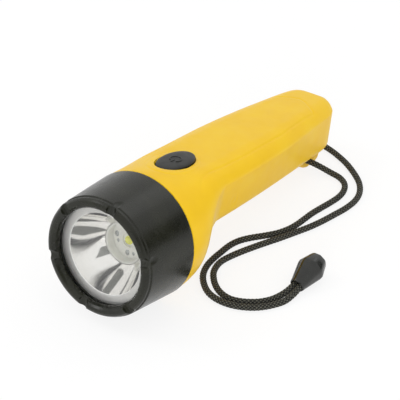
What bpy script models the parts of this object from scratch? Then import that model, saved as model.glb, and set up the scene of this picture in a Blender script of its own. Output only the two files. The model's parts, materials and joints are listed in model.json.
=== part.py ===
# Floating hand light: a round screw-on head, an offset yellow handle and a wrist cord.
# Metres. The light's own axis runs along Y, with the beam towards -Y, the button up (+Z)
# and the tail towards +Y. That axis hangs on an empty, which is tilted until the head's
# edge and the foot under the tail both touch the floor, z = 0.

import bpy
import bmesh
from math import atan, cos, sin, pi, radians, sqrt, tan
from mathutils import Matrix, Vector

# Fits shared by all pieces
seat_gap = 0.0003            # between pieces that touch
slide_gap = 0.0004           # between pieces that slide or turn in each other
overrun = 0.002              # how far a cutter runs past what it cuts
weld = 0.00001

# Bezel: the black ring that screws onto the neck, seam at y = 0
bezel_radius = 0.0310        # at the seam
bezel_length = 0.0328        # seam to the rim's crest
bezel_edge = 0.0006          # rounding at the seam
bezel_taper = 0.0018         # how much slimmer the barrel is at its step than at the seam
bezel_wall = 0.0031          # barrel round its bore, at the step
thread_wall = 0.0026         # barrel round the thread, at the seam
rim_length = 0.0033          # step to crest
rim_step = 0.0005
rim_flank_inset = 0.0006     # in from the barrel's front radius
rim_flank_back = 0.0016      # back from the crest
rim_crest_inset = 0.0026
rim_inner_flare = 0.0006     # out from the lip's radius
rim_inner_back = 0.0012
lip_width = 0.0025           # how far the lip covers the lens's edge
lip_thickness = 0.0036
thread_bore_room = 0.0014    # past the neck's end
notch_count = 6
notch_turn = radians(13.5)
notch_half_width = 0.0024
notch_depth = 0.0017
dimple_length = 0.0060
dimple_half_width = 0.0030
dimple_depth = 0.0006

# Screw thread between bezel and neck: one round bead on each
thread_pitch = 0.0040
bead_radius = 0.0009
bead_turns = 1.6
bead_sunk = 0.0005           # how far a bead's centre stands off its wall
bead_start_y = 0.0040        # first bead's place in front of the seam
bead_steps = 30              # points in a turn
neck_room = 0.0022           # between the neck and the bezel's threaded bore
neck_wall = 0.0024
neck_length = 0.0120
neck_root = 0.0020           # how far the neck runs into the body

# Head: lens, reflector and lamp
lens_thickness = 0.0018
lens_gap = 0.0005            # round the lens's edge
gasket_thickness = 0.0009
gasket_width = 0.0013
flange_width = 0.0037        # flat ring between the bowl's mouth and the bezel's lip
disc_radius = 0.0105         # reflector's small end
disc_y = 0.0115
reflector_wall = 0.0013
reflector_edge = 0.0007      # round the flange
skirt_wall = 0.0014
collar_length = 0.0046
collar_wall = 0.0014
spacer_wall = 0.0009
board_thickness = 0.0016
emitter_radius = 0.0021
emitter_base = 0.0006
dome_radius = 0.0016
lamp_ring_inner = 0.0034
lamp_ring_outer = 0.0050
lamp_ring_height = 0.0008
module_radius = 0.0172       # lamp module's cup
sink_room = 0.0020           # between the sink's edge and the neck's bore
sink_flange = 0.0020
sink_boss_radius = 0.0080
sink_boss = 0.0022
module_screw_edge = 0.0026   # from the screw's middle to the sink's edge
module_screw_reach = 0.0044
module_wall = 0.0015
module_length = 0.0169
module_flange = 0.0032
driver_thickness = 0.0014
driver_depth = 0.0082        # from the module's front to the board
chip_size = 0.0050
chip_height = 0.0020
coil_chip_radius = 0.0035
coil_chip_height = 0.0035
contact_radius = 0.0034
contact_thickness = 0.0006
ring_thickness = 0.0006
ring_width = 0.0060
ring_back = 0.0022           # from the module's back end

# Body shell: stations along the axis. A circle at the seam turns into a rounded box.
shell_wall = 0.0020
shell_front_y = 0.0004
seam_inset = 0.0002          # how much slimmer the shell is than the bezel where they meet
front_wall = 0.0026
handle_length = 0.1503       # seam to the tail's end
handle_half_width = 0.0223   # at its shoulders
handle_low_width = 0.0200    # half, below the shoulders
handle_top = 0.0278          # above the axis
handle_bottom = 0.0016       # below the axis
handle_top_round = 0.0126    # wide arch of each top corner
handle_shoulder_round = 0.0030
handle_bottom_round = 0.0050
shoulder_turn = radians(30)  # slope at which the arch gives way to the shoulder
section_points = 36          # round each section, a multiple of four
collar_reach = 0.0360        # seam to where the handle proper starts
# share of the collar's reach, then the blend from circle to handle: width, top, bottom, rounding
collar_shares = (
    (0.17, 0.03, 0.08, 0.035, 0.04), (0.33, 0.12, 0.30, 0.13, 0.16), (0.50, 0.34, 0.58, 0.36, 0.40),
    (0.66, 0.63, 0.80, 0.65, 0.68), (0.82, 0.87, 0.93, 0.88, 0.89), (1.0, 1.0, 1.0, 1.0, 1.0))
# share of the handle's length behind the collar, then as shares of the handle's own:
# half width, low width, top, bottom, top rounding, the other roundings
handle_shares = (
    (0.12, 1.0, 0.993, 1.0, 1.0, 1.0, 1.0), (0.26, 0.996, 0.975, 1.0, 1.0, 0.99, 1.0),
    (0.41, 0.971, 0.947, 0.993, 0.95, 0.96, 1.0), (0.54, 0.925, 0.913, 0.984, 0.90, 0.91, 1.0),
    (0.66, 0.863, 0.880, 0.973, 0.80, 0.84, 1.0), (0.76, 0.806, 0.850, 0.962, 0.70, 0.79, 0.98),
    (0.845, 0.763, 0.818, 0.951, 0.60, 0.76, 0.92), (0.91, 0.720, 0.775, 0.941, 0.45, 0.74, 0.82),
    (0.955, 0.652, 0.700, 0.934, 0.10, 0.68, 0.68), (0.985, 0.532, 0.570, 0.910, -0.60, 0.60, 0.60),
    (1.0, 0.385, 0.410, 0.860, -1.40, 0.50, 0.52))
cavity_tail_wall = 0.0026

# Foot and cord slot under the tail
foot_half_width = 0.0080
foot_inset = 0.0088          # middle of the flat foot, in from the tail's end
foot_height = 0.0091         # foot below the handle's underside
foot_half_length = 0.0040
foot_ramp = 0.0225           # the ramp's start in front of the foot's middle
foot_corner = 0.0125         # and its corner
foot_front_rise = 0.0045     # the corner above the floor line
foot_tail = 0.0073           # the lug's end behind the foot's middle
foot_tail_round = 0.0032
foot_root = 0.0030           # how far it runs up into the shell
slot_front = 0.0087          # the slot's end in front of the foot's middle
slot_length = 0.0120
slot_floor = 0.0042          # bar under the slot
slot_roof_rise = 0.0004      # above the handle's underside
slot_corner = 0.0010

# Button: an oval rubber cap on top
button_y = 0.0248
button_half_length = 0.0125
button_half_width = 0.0073
button_dome = 0.0012
button_skirt_height = 0.0036
button_skirt_rise = 0.0028   # its flange's top above the retainer
button_flange = 0.0012
button_flange_width = 0.0010
button_wall = 0.0014
button_travel = 0.0012
button_sides = 32
# share of the dome's height, then of the oval's size
dome_shares = ((0.0, 1.0), (0.35, 0.985), (0.66, 0.92), (0.86, 0.78), (0.97, 0.52), (1.0, 0.25))
symbol_radius = 0.0028
symbol_line = 0.00035
symbol_gap = radians(35)     # half the break in the ring
symbol_steps = 10

# Switch under the button
retainer_rise = 0.0050       # its top above the switch's bottom
retainer_thickness = 0.0015
retainer_half_length = 0.0150
window_half_length = 0.0088
window_half_width = 0.0040
ear_thickness = 0.0013
ear_screw_x = 0.0116         # screws on both sides of the button's middle
switch_half_width = 0.0065
switch_half_length = 0.0095
plunger_radius = 0.0014
plunger_head_radius = 0.0030
plunger_head = 0.0008
plunger_bore_gap = 0.0004
spring_wire = 0.0003
spring_coil_radius = 0.0022
spring_turns = 4
screw_radius = 0.0012
screw_head_radius = 0.0023
screw_head = 0.0012
screw_reach = 0.0036         # into its boss
boss_radius = 0.0030
boss_root_share = 0.75       # of the wall, how far below the outside a boss ends
strip_thickness = 0.0004
strip_half_width = 0.0022
strip_front_y = 0.0045
rear_strip_y = 0.0445

# Batteries: two rows of two cells, lying in a carrier
cell_radius = 0.0070
cell_length = 0.0500
nub_radius = 0.0027
nub_height = 0.0010
cell_gap = 0.0003
row_gap = 0.0003             # between the two rows
lead_room = 0.0056           # from the lamp module's contacts to the carrier
carrier_wall = 0.0020
carrier_floor = 0.0007
carrier_inset = 0.00015      # each side, in from the rows' outer sides
carrier_rear_inset = 0.00095
carrier_top_gap = 0.0002
carrier_ridge_half_width = 0.0015
carrier_ridge = 0.0018
carrier_tie_half_width = 0.0012
carrier_tie = 0.0015
plate_thickness = 0.0005
plate_half_width = 0.0052
plate_half_height = 0.0055
cell_spring_wire = 0.00035
cell_spring_radius = 0.0030
cell_spring_length = 0.0034
cell_spring_turns = 3
front_spring_turns = 3
rail_half_width = 0.0010
rail_height = 0.0012         # above the handle's inner floor
rail_offset = 0.00185        # outside the middle of its row
rail_root_share = 0.5         # how deep rails and stop reach into the floor
rail_front = 0.0190          # behind the carrier's front
stop_half_width = 0.0085
stop_height = 0.0100
stop_thickness = 0.0016

# Wrist cord and its moulded end
cord_diameter = 0.0030
cord_seat = 0.0018           # its middle behind the slot's front end
cord_sides = 2               # bevel resolution: eight sides
cord_step = 2.4              # diameters between a tube's points
end_length = 0.0200
end_sides = 8                # a flat one on the floor
end_small_radius = 0.0040    # to its corners, as the two below
end_big_radius = 0.0070
end_tip_radius = 0.0047
end_chamfer = 0.0068
end_bore_radius = 0.0033
end_bore_depth = 0.0030
end_x = 0.0622
end_y = 0.0386
# share of the moulded end's length, then of the way from small to big radius
bell_shares = ((0.08, 0.05), (0.58, 0.96), (0.64, 1.0))

# Routes of the two strands, in metres from the floor point under the seam
near_route = (
    (0.0083, 0.1324, 0.0058), (0.0120, 0.1326, 0.0056), (0.0165, 0.1336, 0.0042), (0.0220, 0.1347, 0.0022),
    (0.0282, 0.1339, 0.0016), (0.0332, 0.1304, 0.0016), (0.0362, 0.1250, 0.0016), (0.0372, 0.1185, 0.0016),
    (0.0364, 0.1110, 0.0016), (0.0350, 0.1035, 0.0016), (0.0340, 0.0970, 0.0016), (0.0336, 0.0910, 0.0016),
    (0.0332, 0.0855, 0.0016), (0.0321, 0.0796, 0.0016), (0.0295, 0.0733, 0.0016), (0.0253, 0.0674, 0.0016),
    (0.0209, 0.0620, 0.0016), (0.0176, 0.0565, 0.0016), (0.0161, 0.0505, 0.0016), (0.0159, 0.0435, 0.0016),
    (0.0160, 0.0360, 0.0016), (0.0171, 0.0292, 0.0016), (0.0199, 0.0227, 0.0016), (0.0243, 0.0174, 0.0016),
    (0.0292, 0.0136, 0.0016), (0.0346, 0.0116, 0.0016), (0.0406, 0.0112, 0.0016), (0.0464, 0.0124, 0.0016),
    (0.0519, 0.0150, 0.0016), (0.0563, 0.0186, 0.0016), (0.0597, 0.0230, 0.0016), (0.0624, 0.0282, 0.0017),
    (0.0636, 0.0335, 0.0027), (0.0638, 0.0383, 0.0036), (0.0638, 0.0406, 0.0040))
far_route = (
    (-0.0083, 0.1324, 0.0058), (-0.0120, 0.1325, 0.0056), (-0.0162, 0.1342, 0.0040),
    (-0.0190, 0.1382, 0.0022), (-0.0196, 0.1440, 0.0016), (-0.0176, 0.1500, 0.0016),
    (-0.0132, 0.1544, 0.0016), (-0.0076, 0.1566, 0.0016),
    (-0.0015, 0.1570, 0.0016), (0.0045, 0.1560, 0.0016), (0.0100, 0.1544, 0.0016), (0.0158, 0.1520, 0.0016),
    (0.0238, 0.1478, 0.0016), (0.0322, 0.1418, 0.0016), (0.0392, 0.1352, 0.0016), (0.0438, 0.1278, 0.0016),
    (0.0458, 0.1200, 0.0016), (0.0455, 0.1115, 0.0016), (0.0437, 0.1026, 0.0016), (0.0417, 0.0940, 0.0016),
    (0.0395, 0.0868, 0.0016), (0.0371, 0.0808, 0.0016), (0.0348, 0.0752, 0.0016), (0.0326, 0.0700, 0.0016),
    (0.0302, 0.0648, 0.0016), (0.0278, 0.0595, 0.0016), (0.0255, 0.0541, 0.0016), (0.0233, 0.0485, 0.0016),
    (0.0215, 0.0430, 0.0016), (0.0204, 0.0378, 0.0016), (0.0207, 0.0330, 0.0016), (0.0225, 0.0278, 0.0016),
    (0.0261, 0.0229, 0.0016), (0.0307, 0.0187, 0.0016), (0.0355, 0.0161, 0.0016), (0.0406, 0.0151, 0.0016),
    (0.0455, 0.0162, 0.0016), (0.0500, 0.0186, 0.0016), (0.0540, 0.0220, 0.0016), (0.0572, 0.0270, 0.0016),
    (0.0596, 0.0328, 0.0025), (0.0606, 0.0383, 0.0036), (0.0606, 0.0406, 0.0040))

# Sizes that follow from the ones above
row_x = cell_radius + row_gap / 2
cell_axis_z = -handle_bottom + shell_wall + rail_height + seat_gap + carrier_floor + seat_gap + cell_radius
carrier_top_z = cell_axis_z + cell_radius + carrier_top_gap
carrier_half_width = row_x + cell_radius - carrier_inset
carrier_rear_half_width = row_x + cell_radius - carrier_rear_inset
rail_x = row_x + rail_offset
switch_bottom = carrier_top_z + seat_gap
retainer_top = switch_bottom + retainer_rise
button_skirt = retainer_top + button_skirt_rise
button_shoulder = button_skirt + button_skirt_height
button_top = button_shoulder + button_dome
thread_bore_radius = bezel_radius - thread_wall
thread_bore_depth = neck_length + thread_bore_room
neck_radius = thread_bore_radius - neck_room
neck_bore_radius = neck_radius - neck_wall
sink_flange_radius = neck_bore_radius - sink_room
module_screw_x = sink_flange_radius - module_screw_edge
bezel_front_radius = bezel_radius - bezel_taper
bezel_bore_radius = bezel_front_radius - bezel_wall
barrel_length = bezel_length - rim_length
rim_flank_radius = bezel_front_radius - rim_flank_inset
rim_flank_y = bezel_length - rim_flank_back
rim_crest_radius = bezel_front_radius - rim_crest_inset
lip_radius = bezel_bore_radius - lip_width
lip_back_y = bezel_length - lip_thickness
rim_inner_radius = lip_radius + rim_inner_flare
rim_inner_y = bezel_length - rim_inner_back
mouth_radius = lip_radius - flange_width
shell_front_radius = bezel_radius - seam_inset
lens_front_y = -lip_back_y + seat_gap
lens_back_y = lens_front_y + lens_thickness
flange_y = lens_back_y + 2 * seat_gap + gasket_thickness
skirt_radius = bezel_bore_radius - reflector_edge
skirt_end_y = -neck_length - seat_gap
collar_end_y = -disc_y + collar_length
board_front_y = collar_end_y + seat_gap
board_radius = disc_radius + collar_wall
sink_y = board_front_y + board_thickness + seat_gap
module_y = sink_y + sink_flange + seat_gap
module_end_y = module_y + module_length
contact_face_y = module_end_y + seat_gap + contact_thickness
carrier_front_y = contact_face_y + lead_room
rail_front_y = carrier_front_y + rail_front
front_plate_y = carrier_front_y + carrier_wall + seat_gap
row_start_y = front_plate_y + plate_thickness + seat_gap
row_length = 2 * (cell_length + nub_height) + cell_gap
link_plate_y = row_start_y + row_length + cell_spring_length + 2 * seat_gap
carrier_rear_y = link_plate_y + plate_thickness + seat_gap
carrier_end_y = carrier_rear_y + carrier_wall
carrier_floor_z = cell_axis_z - cell_radius - seat_gap
carrier_bottom_z = carrier_floor_z - carrier_floor
foot_y = handle_length - foot_inset
foot_drop = handle_bottom + foot_height
foot_front_y = foot_y - foot_ramp
foot_front_corner_y = foot_y - foot_corner
foot_tail_y = foot_y + foot_tail
slot_front_y = foot_y - slot_front
slot_tail_y = slot_front_y + slot_length
slot_roof = handle_bottom - slot_roof_rise
cord_y = slot_front_y + cord_seat
contact_y = -bezel_edge
tilt = atan((bezel_radius - foot_drop) / (foot_y - contact_y))
axis_height = (bezel_radius + contact_y * tan(tilt)) * cos(tilt)


def floor_z(y):
    """Height of the floor line, in the light's own frame, at a place along its axis."""
    return -bezel_radius + (y - contact_y) * tan(tilt)


def clear_scene():
    for item in list(bpy.data.objects):
        bpy.data.objects.remove(item, do_unlink=True)


def make_collection(name):
    collection = bpy.data.collections.new(name)
    bpy.context.scene.collection.children.link(collection)
    return collection


clear_scene()
light_parts = make_collection("floating_flashlight")
cutters = make_collection("cutters")

floor_frame = bpy.data.objects.new("floor_frame", None)
light_parts.objects.link(floor_frame)
light_axis = bpy.data.objects.new("light_axis", None)
light_axis.location = (0, 0, axis_height)
light_axis.rotation_euler = (-tilt, 0, 0)
light_axis.parent = floor_frame
light_parts.objects.link(light_axis)


def material(name, color, roughness, metallic=0.0, alpha=1.0):
    made = bpy.data.materials.new(name)
    made.use_nodes = True
    shader = made.node_tree.nodes["Principled BSDF"]
    shader.inputs["Base Color"].default_value = (*color, 1.0)
    shader.inputs["Roughness"].default_value = roughness
    shader.inputs["Metallic"].default_value = metallic
    shader.inputs["Alpha"].default_value = alpha
    return made


yellow_abs = material("yellow_abs", (0.92, 0.60, 0.06), 0.42)
black_abs = material("black_abs", (0.035, 0.037, 0.034), 0.38)
black_rubber = material("black_rubber", (0.045, 0.046, 0.045), 0.62)
clear_pc = material("clear_polycarbonate", (0.95, 0.97, 0.97), 0.04, alpha=0.3)
mirror_coat = material("mirror_coat", (0.86, 0.87, 0.86), 0.10, metallic=1.0)
white_board = material("white_circuit_board", (0.80, 0.81, 0.78), 0.45)
phosphor = material("yellow_phosphor", (0.90, 0.82, 0.08), 0.35)
white_nylon = material("white_nylon", (0.78, 0.78, 0.76), 0.50)
aluminium = material("aluminium", (0.72, 0.73, 0.74), 0.35, metallic=1.0)
green_board = material("green_circuit_board", (0.03, 0.20, 0.08), 0.45)
brass = material("brass", (0.78, 0.57, 0.23), 0.30, metallic=1.0)
steel = material("plated_steel", (0.62, 0.62, 0.62), 0.30, metallic=1.0)
cell_wrap = material("cell_wrap", (0.10, 0.12, 0.16), 0.35)
cord_braid = material("black_braid", (0.020, 0.020, 0.018), 0.80)


def place(item, finish, location=(0, 0, 0), rotation=(0, 0, 0), frame=None, is_cutter=False):
    """Link an object, give it its material and hang it on its frame."""
    if is_cutter:
        cutters.objects.link(item)
        item.hide_render = True
        item.display_type = "WIRE"
    else:
        light_parts.objects.link(item)
        item.data.materials.append(finish)
    item.location = location
    item.rotation_euler = rotation
    item.parent = frame or light_axis
    return item


def smooth(item, angle=radians(35)):
    item.data.shade_smooth()
    item.data.set_sharp_from_angle(angle=angle)


def boolean(item, other, operation):
    step = item.modifiers.new(other.name, "BOOLEAN")
    step.operation = operation
    step.object = other


def join(item, *others):
    for other in others:
        boolean(item, other, "UNION")


def cut(item, *others):
    for other in others:
        boolean(item, other, "DIFFERENCE")


ALONG_Y = (radians(-90), 0, 0)       # local Z points along the light, to the tail
ALONG_Y_TURNED = (radians(-90), radians(11.25), 0)   # the same, its corners off the X axis
SIDE_OUTLINE = (radians(90), 0, radians(90))   # local X, Y, Z become Y, Z, X


def turned(name, finish, profile, steps=40, closed=False, is_cutter=False, rotation=ALONG_Y, **where):
    """Turn a profile of (radius, distance along the axis), outer side from tail to front."""
    mesh = bpy.data.meshes.new(name)
    points = [(radius, 0, along) for radius, along in profile]
    edges = [(i, i + 1) for i in range(len(points) - 1)]
    if closed:
        edges.append((len(points) - 1, 0))
    mesh.from_pydata(points, edges, [])
    item = place(bpy.data.objects.new(name, mesh), finish, rotation=rotation, is_cutter=is_cutter, **where)
    screw = item.modifiers.new("turn", "SCREW")
    screw.axis = "Z"
    screw.steps = steps
    screw.render_steps = steps
    screw.use_merge_vertices = True
    screw.merge_threshold = weld
    screw.use_smooth_shade = True
    return item


def box(name, finish, low, high, rounding=0, is_cutter=False, **where):
    """A box between two corners, with its upright edges or all its edges bevelled."""
    mesh = bpy.data.meshes.new(name)
    shape = bmesh.new()
    bmesh.ops.create_cube(shape, size=1)
    size = [b - a for a, b in zip(low, high)]
    middle = [(a + b) / 2 for a, b in zip(low, high)]
    bmesh.ops.scale(shape, vec=size, verts=shape.verts)
    shape.to_mesh(mesh)
    shape.free()
    item = place(bpy.data.objects.new(name, mesh), finish, location=middle, is_cutter=is_cutter, **where)
    if rounding:
        bevel = item.modifiers.new("edges", "BEVEL")
        bevel.width = rounding
        bevel.segments = 2
    return item


def mesh_from_curve(curve, name):
    """The curve's evaluated surface as a mesh, its caps welded on."""
    bpy.context.view_layer.update()
    evaluated = curve.evaluated_get(bpy.context.evaluated_depsgraph_get())
    mesh = bpy.data.meshes.new_from_object(evaluated)
    shape = bmesh.new()
    shape.from_mesh(mesh)
    bmesh.ops.remove_doubles(shape, verts=shape.verts, dist=weld)
    bmesh.ops.recalc_face_normals(shape, faces=shape.faces)
    shape.to_mesh(mesh)
    shape.free()
    mesh.name = name
    old_data = curve.data
    bpy.data.objects.remove(curve, do_unlink=True)
    bpy.data.curves.remove(old_data)
    return mesh


def tube_mesh(name, points, radius, sides):
    """A round bar along points."""
    data = bpy.data.curves.new(name + "_path", "CURVE")
    data.dimensions = "3D"
    line = data.splines.new("POLY")
    line.points.add(len(points) - 1)
    for knot, point in zip(line.points, points):
        knot.co = (*point, 1)
    data.bevel_depth = radius
    data.bevel_resolution = sides
    data.use_fill_caps = True
    curve = bpy.data.objects.new(name + "_path", data)
    cutters.objects.link(curve)
    return mesh_from_curve(curve, name)


def outline_mesh(name, points, half_thickness):
    """A flat plate with the given outline."""
    data = bpy.data.curves.new(name + "_outline", "CURVE")
    data.dimensions = "2D"
    data.fill_mode = "BOTH"
    data.extrude = half_thickness
    line = data.splines.new("POLY")
    line.points.add(len(points) - 1)
    for knot, (u, v) in zip(line.points, points):
        knot.co = (u, v, 0, 1)
    line.use_cyclic_u = True
    curve = bpy.data.objects.new(name + "_outline", data)
    cutters.objects.link(curve)
    return mesh_from_curve(curve, name)


def helix(radius, start, rise, turns, steps_per_turn, hand=1):
    """Points of a coil about local Z; hand 1 is right-handed."""
    count = round(turns * steps_per_turn)
    points = []
    for i in range(count + 1):
        angle = hand * 2 * pi * turns * i / count
        points.append((radius * cos(angle), radius * sin(angle), start + rise * i / count))
    return points


def coil(name, radius, wire, start, length, turns, location, rotation=ALONG_Y, steps_per_turn=9):
    """A coil spring of round wire, its ends inside the given length."""
    points = helix(radius, start + wire, length - 2 * wire, turns, steps_per_turn)
    item = bpy.data.objects.new(name, tube_mesh(name, points, wire, 1))
    place(item, steel, location=location, rotation=rotation)
    smooth(item, radians(60))
    return item


def disc(radius, front, back):
    """Profile of a solid disc, from tail side to front side."""
    return [(0, back), (radius, back), (radius, front), (0, front)]


def ring(inner, outer, front, back):
    return [(outer, back), (outer, front), (inner, front), (inner, back)]


# Body shell

def section(half_width, low_width, top, bottom, top_round, shoulder_round, low_round):
    """Points of a rounded section, counted from the top's middle towards +X. Each top corner is
    a wide arch that gives way to a tighter shoulder. With all radii alike it is a circle."""
    quarter = section_points // 4
    shift = top_round - shoulder_round
    arch_middle = (half_width - shoulder_round - shift * cos(shoulder_turn), top - top_round)
    shoulder_middle = (half_width - shoulder_round, top - top_round + shift * sin(shoulder_turn))
    low_middle = (low_width - low_round, bottom + low_round)
    right = []
    for step in range(2 * quarter):
        angle = (step + 0.5) / quarter * pi / 2
        (x, z), radius = low_middle, low_round
        if angle < pi / 2:
            (x, z), radius = shoulder_middle, shoulder_round
        if angle < pi / 2 - shoulder_turn:
            (x, z), radius = arch_middle, top_round
        right.append((x + radius * sin(angle), z + radius * cos(angle)))
    return right + [(-x, z) for x, z in reversed(right)]


def blend(a, b, share):
    return a + (b - a) * share


def body_stations():
    """From the seam to the tail: y, half width, low width, top, bottom and the three roundings."""
    r = shell_front_radius
    stations = [(shell_front_y, r, r, r, -r, r, r, r)]
    for at, width, top, bottom, rounding in collar_shares:
        stations.append((collar_reach * at,
                         blend(r, handle_half_width, width), blend(r, handle_low_width, width),
                         blend(r, handle_top, top), blend(-r, -handle_bottom, bottom),
                         blend(r, handle_top_round, rounding), blend(r, handle_shoulder_round, rounding),
                         blend(r, handle_bottom_round, rounding)))
    for at, width, low_width, top, bottom, arch, rounding in handle_shares:
        stations.append((blend(collar_reach, handle_length, at), handle_half_width * width,
                         handle_low_width * low_width, handle_top * top, -handle_bottom * bottom,
                         handle_top_round * arch, handle_shoulder_round * rounding,
                         handle_bottom_round * rounding))
    return stations


def station_at(stations, y):
    """The section between two stations, at a place along the axis."""
    for a, b in zip(stations, stations[1:]):
        if a[0] <= y <= b[0]:
            share = (y - a[0]) / (b[0] - a[0])
            return tuple(blend(p, q, share) for p, q in zip(a, b))
    return stations[-1]


def inset_stations(stations, wall, first_y, last_y):
    """The same sections, one wall further in, between two places along the axis."""
    inner = []
    for y, half_width, low_width, top, bottom, *roundings in stations:
        smaller = [max(value - wall, wall / 4) for value in roundings]
        inner.append((y, half_width - wall, low_width - wall, top - wall, bottom + wall, *smaller))

    kept = [station for station in inner if first_y + seat_gap < station[0] < last_y - seat_gap]
    return [station_at(inner, first_y)] + kept + [station_at(inner, last_y)]


def lofted(name, stations, finish, is_cutter=False):
    """Skin over rounded sections that stand across the axis, closed at both ends."""
    shape = bmesh.new()
    rings = []
    for y, *sizes in stations:
        rings.append([shape.verts.new((x, y, z)) for x, z in section(*sizes)])
    for front, back in zip(rings, rings[1:]):
        for i in range(section_points):
            k = (i + 1) % section_points
            shape.faces.new((front[i], front[k], back[k], back[i]))
    shape.faces.new(list(reversed(rings[0])))
    shape.faces.new(rings[-1])
    bmesh.ops.recalc_face_normals(shape, faces=shape.faces)
    mesh = bpy.data.meshes.new(name)
    shape.to_mesh(mesh)
    shape.free()
    return place(bpy.data.objects.new(name, mesh), finish, is_cutter=is_cutter)


def oval(name, half_width, half_length, low, high, is_cutter=True, finish=None):
    """An upright oval prism about the button's middle."""
    mesh = bpy.data.meshes.new(name)
    shape = bmesh.new()
    bmesh.ops.create_cone(shape, cap_ends=True, segments=button_sides, radius1=1, radius2=1, depth=1)
    bmesh.ops.scale(shape, vec=(half_width, half_length, high - low), verts=shape.verts)
    shape.to_mesh(mesh)
    shape.free()
    where = (0, button_y, (low + high) / 2)
    return place(bpy.data.objects.new(name, mesh), finish, location=where, is_cutter=is_cutter)


def thread_bead(name, wall_radius, first_y):
    """A round helical bead about the light's axis, as a cutter to be joined to its wall."""
    length = bead_turns * thread_pitch
    # local Z points to the tail; a right-hand bead turns the same way seen from either end
    points = helix(wall_radius, first_y - length, length, bead_turns, bead_steps)
    item = bpy.data.objects.new(name, tube_mesh(name, points, bead_radius, 1))
    return place(item, None, rotation=ALONG_Y, is_cutter=True)


def foot_outline():
    """Side view of the lug under the tail, (y, z), with its flat foot on the floor line."""
    root_z = handle_bottom + foot_root
    foot_front = foot_y - foot_half_length
    foot_back = foot_y + foot_half_length
    tail_low = floor_z(foot_tail_y) + foot_tail_round
    return [(foot_front_y, root_z),
            (foot_front_corner_y, floor_z(foot_front_corner_y) + foot_front_rise),
            (blend(foot_front_corner_y, foot_front, 0.6), floor_z(blend(foot_front_corner_y, foot_front, 0.6))
             + foot_front_rise * 0.3),
            (foot_front, floor_z(foot_front)),
            (foot_back, floor_z(foot_back)),
            (blend(foot_back, foot_tail_y, 0.7), floor_z(foot_back) + foot_tail_round * 0.35),
            (foot_tail_y, tail_low),
            (foot_tail_y, root_z)]


def slot_outline():
    """Side view of the slot for the cord: level floor, roof along the axis, cut corners."""
    front, tail = slot_front_y, slot_tail_y
    low_front, low_tail = floor_z(front) + slot_floor, floor_z(tail) + slot_floor
    roof = -slot_roof
    c = slot_corner
    return [(front, low_front + c), (front + c, low_front), (tail - c, low_tail), (tail, low_tail + c),
            (tail, roof - c), (tail - c, roof), (front + c, roof), (front, roof - c)]


def make_body_shell():
    stations = body_stations()
    shell = lofted("body_shell", stations, yellow_abs)
    neck = turned("neck_blank", None, disc(neck_radius, -neck_length, neck_root), steps=48, is_cutter=True)
    bead = thread_bead("neck_bead", neck_radius + bead_sunk, -bead_start_y)
    lug = place(bpy.data.objects.new("lug_blank", outline_mesh("lug_blank", foot_outline(), foot_half_width)),
                None, rotation=SIDE_OUTLINE, is_cutter=True)
    core = lofted("cavity", inset_stations(stations, shell_wall, shell_front_y + front_wall,
                                           handle_length - cavity_tail_wall), None, is_cutter=True)
    bore = turned("neck_bore", None,
                  disc(neck_bore_radius, -neck_length - overrun, shell_front_y + front_wall + overrun),
                  steps=48, is_cutter=True)
    slot = place(bpy.data.objects.new("cord_slot", outline_mesh("cord_slot", slot_outline(),
                                                                foot_half_width + overrun)),
                 None, rotation=SIDE_OUTLINE, is_cutter=True)
    hole = oval("button_hole", button_half_width + slide_gap, button_half_length + slide_gap,
                retainer_top, button_top)
    join(shell, neck, bead, lug)
    cut(shell, core, bore, slot, hole)
    rail_top = carrier_bottom_z - seat_gap
    rail_bottom = -handle_bottom * rail_root_share
    for name, side in (("rail_right", 1), ("rail_left", -1)):
        low = (side * rail_x - rail_half_width, rail_front_y, rail_bottom)
        high = (side * rail_x + rail_half_width, carrier_rear_y, rail_top)
        join(shell, box(name, None, low, high, is_cutter=True))
    stop_y = carrier_end_y + seat_gap
    join(shell, box("tail_stop", None, (-stop_half_width, stop_y, rail_bottom),
                    (stop_half_width, stop_y + stop_thickness, stop_height), is_cutter=True))
    boss_bottom = retainer_top + seat_gap
    shell_top = station_at(stations, button_y)[3]
    boss_top = shell_top - shell_wall * boss_root_share
    for name, side in (("boss_right", 1), ("boss_left", -1)):
        spot = (side * ear_screw_x, button_y, 0)
        boss = turned(name, None, disc(boss_radius, boss_bottom, boss_top), steps=16, rotation=(0, 0, 0),
                      location=spot, is_cutter=True)
        drill = turned(name + "_bore", None,
                       disc(screw_radius + seat_gap, boss_bottom - overrun / 2, boss_bottom + screw_reach),
                       steps=12, rotation=(0, 0, 0), location=spot, is_cutter=True)
        join(shell, boss)
        cut(shell, drill)
    smooth(shell)
    return shell


# Bezel

def bezel_profile():
    return [(bezel_radius - bezel_edge, 0), (bezel_radius, -bezel_edge),
            (bezel_front_radius, -barrel_length),
            (bezel_front_radius - rim_step, -barrel_length - rim_step / 2),
            (rim_flank_radius, -rim_flank_y),
            (blend(rim_flank_radius, rim_crest_radius, 0.45), -blend(rim_flank_y, bezel_length, 0.72)),
            (rim_crest_radius, -bezel_length),
            (blend(rim_crest_radius, rim_inner_radius, 0.55), -bezel_length),
            (rim_inner_radius, -rim_inner_y), (lip_radius, -blend(rim_inner_y, lip_back_y, 0.55)),
            (lip_radius, -lip_back_y), (bezel_bore_radius, -lip_back_y),
            (bezel_bore_radius, -thread_bore_depth - bead_radius), (thread_bore_radius, -thread_bore_depth),
            (thread_bore_radius, -bezel_edge), (thread_bore_radius + bezel_edge, 0)]


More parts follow.
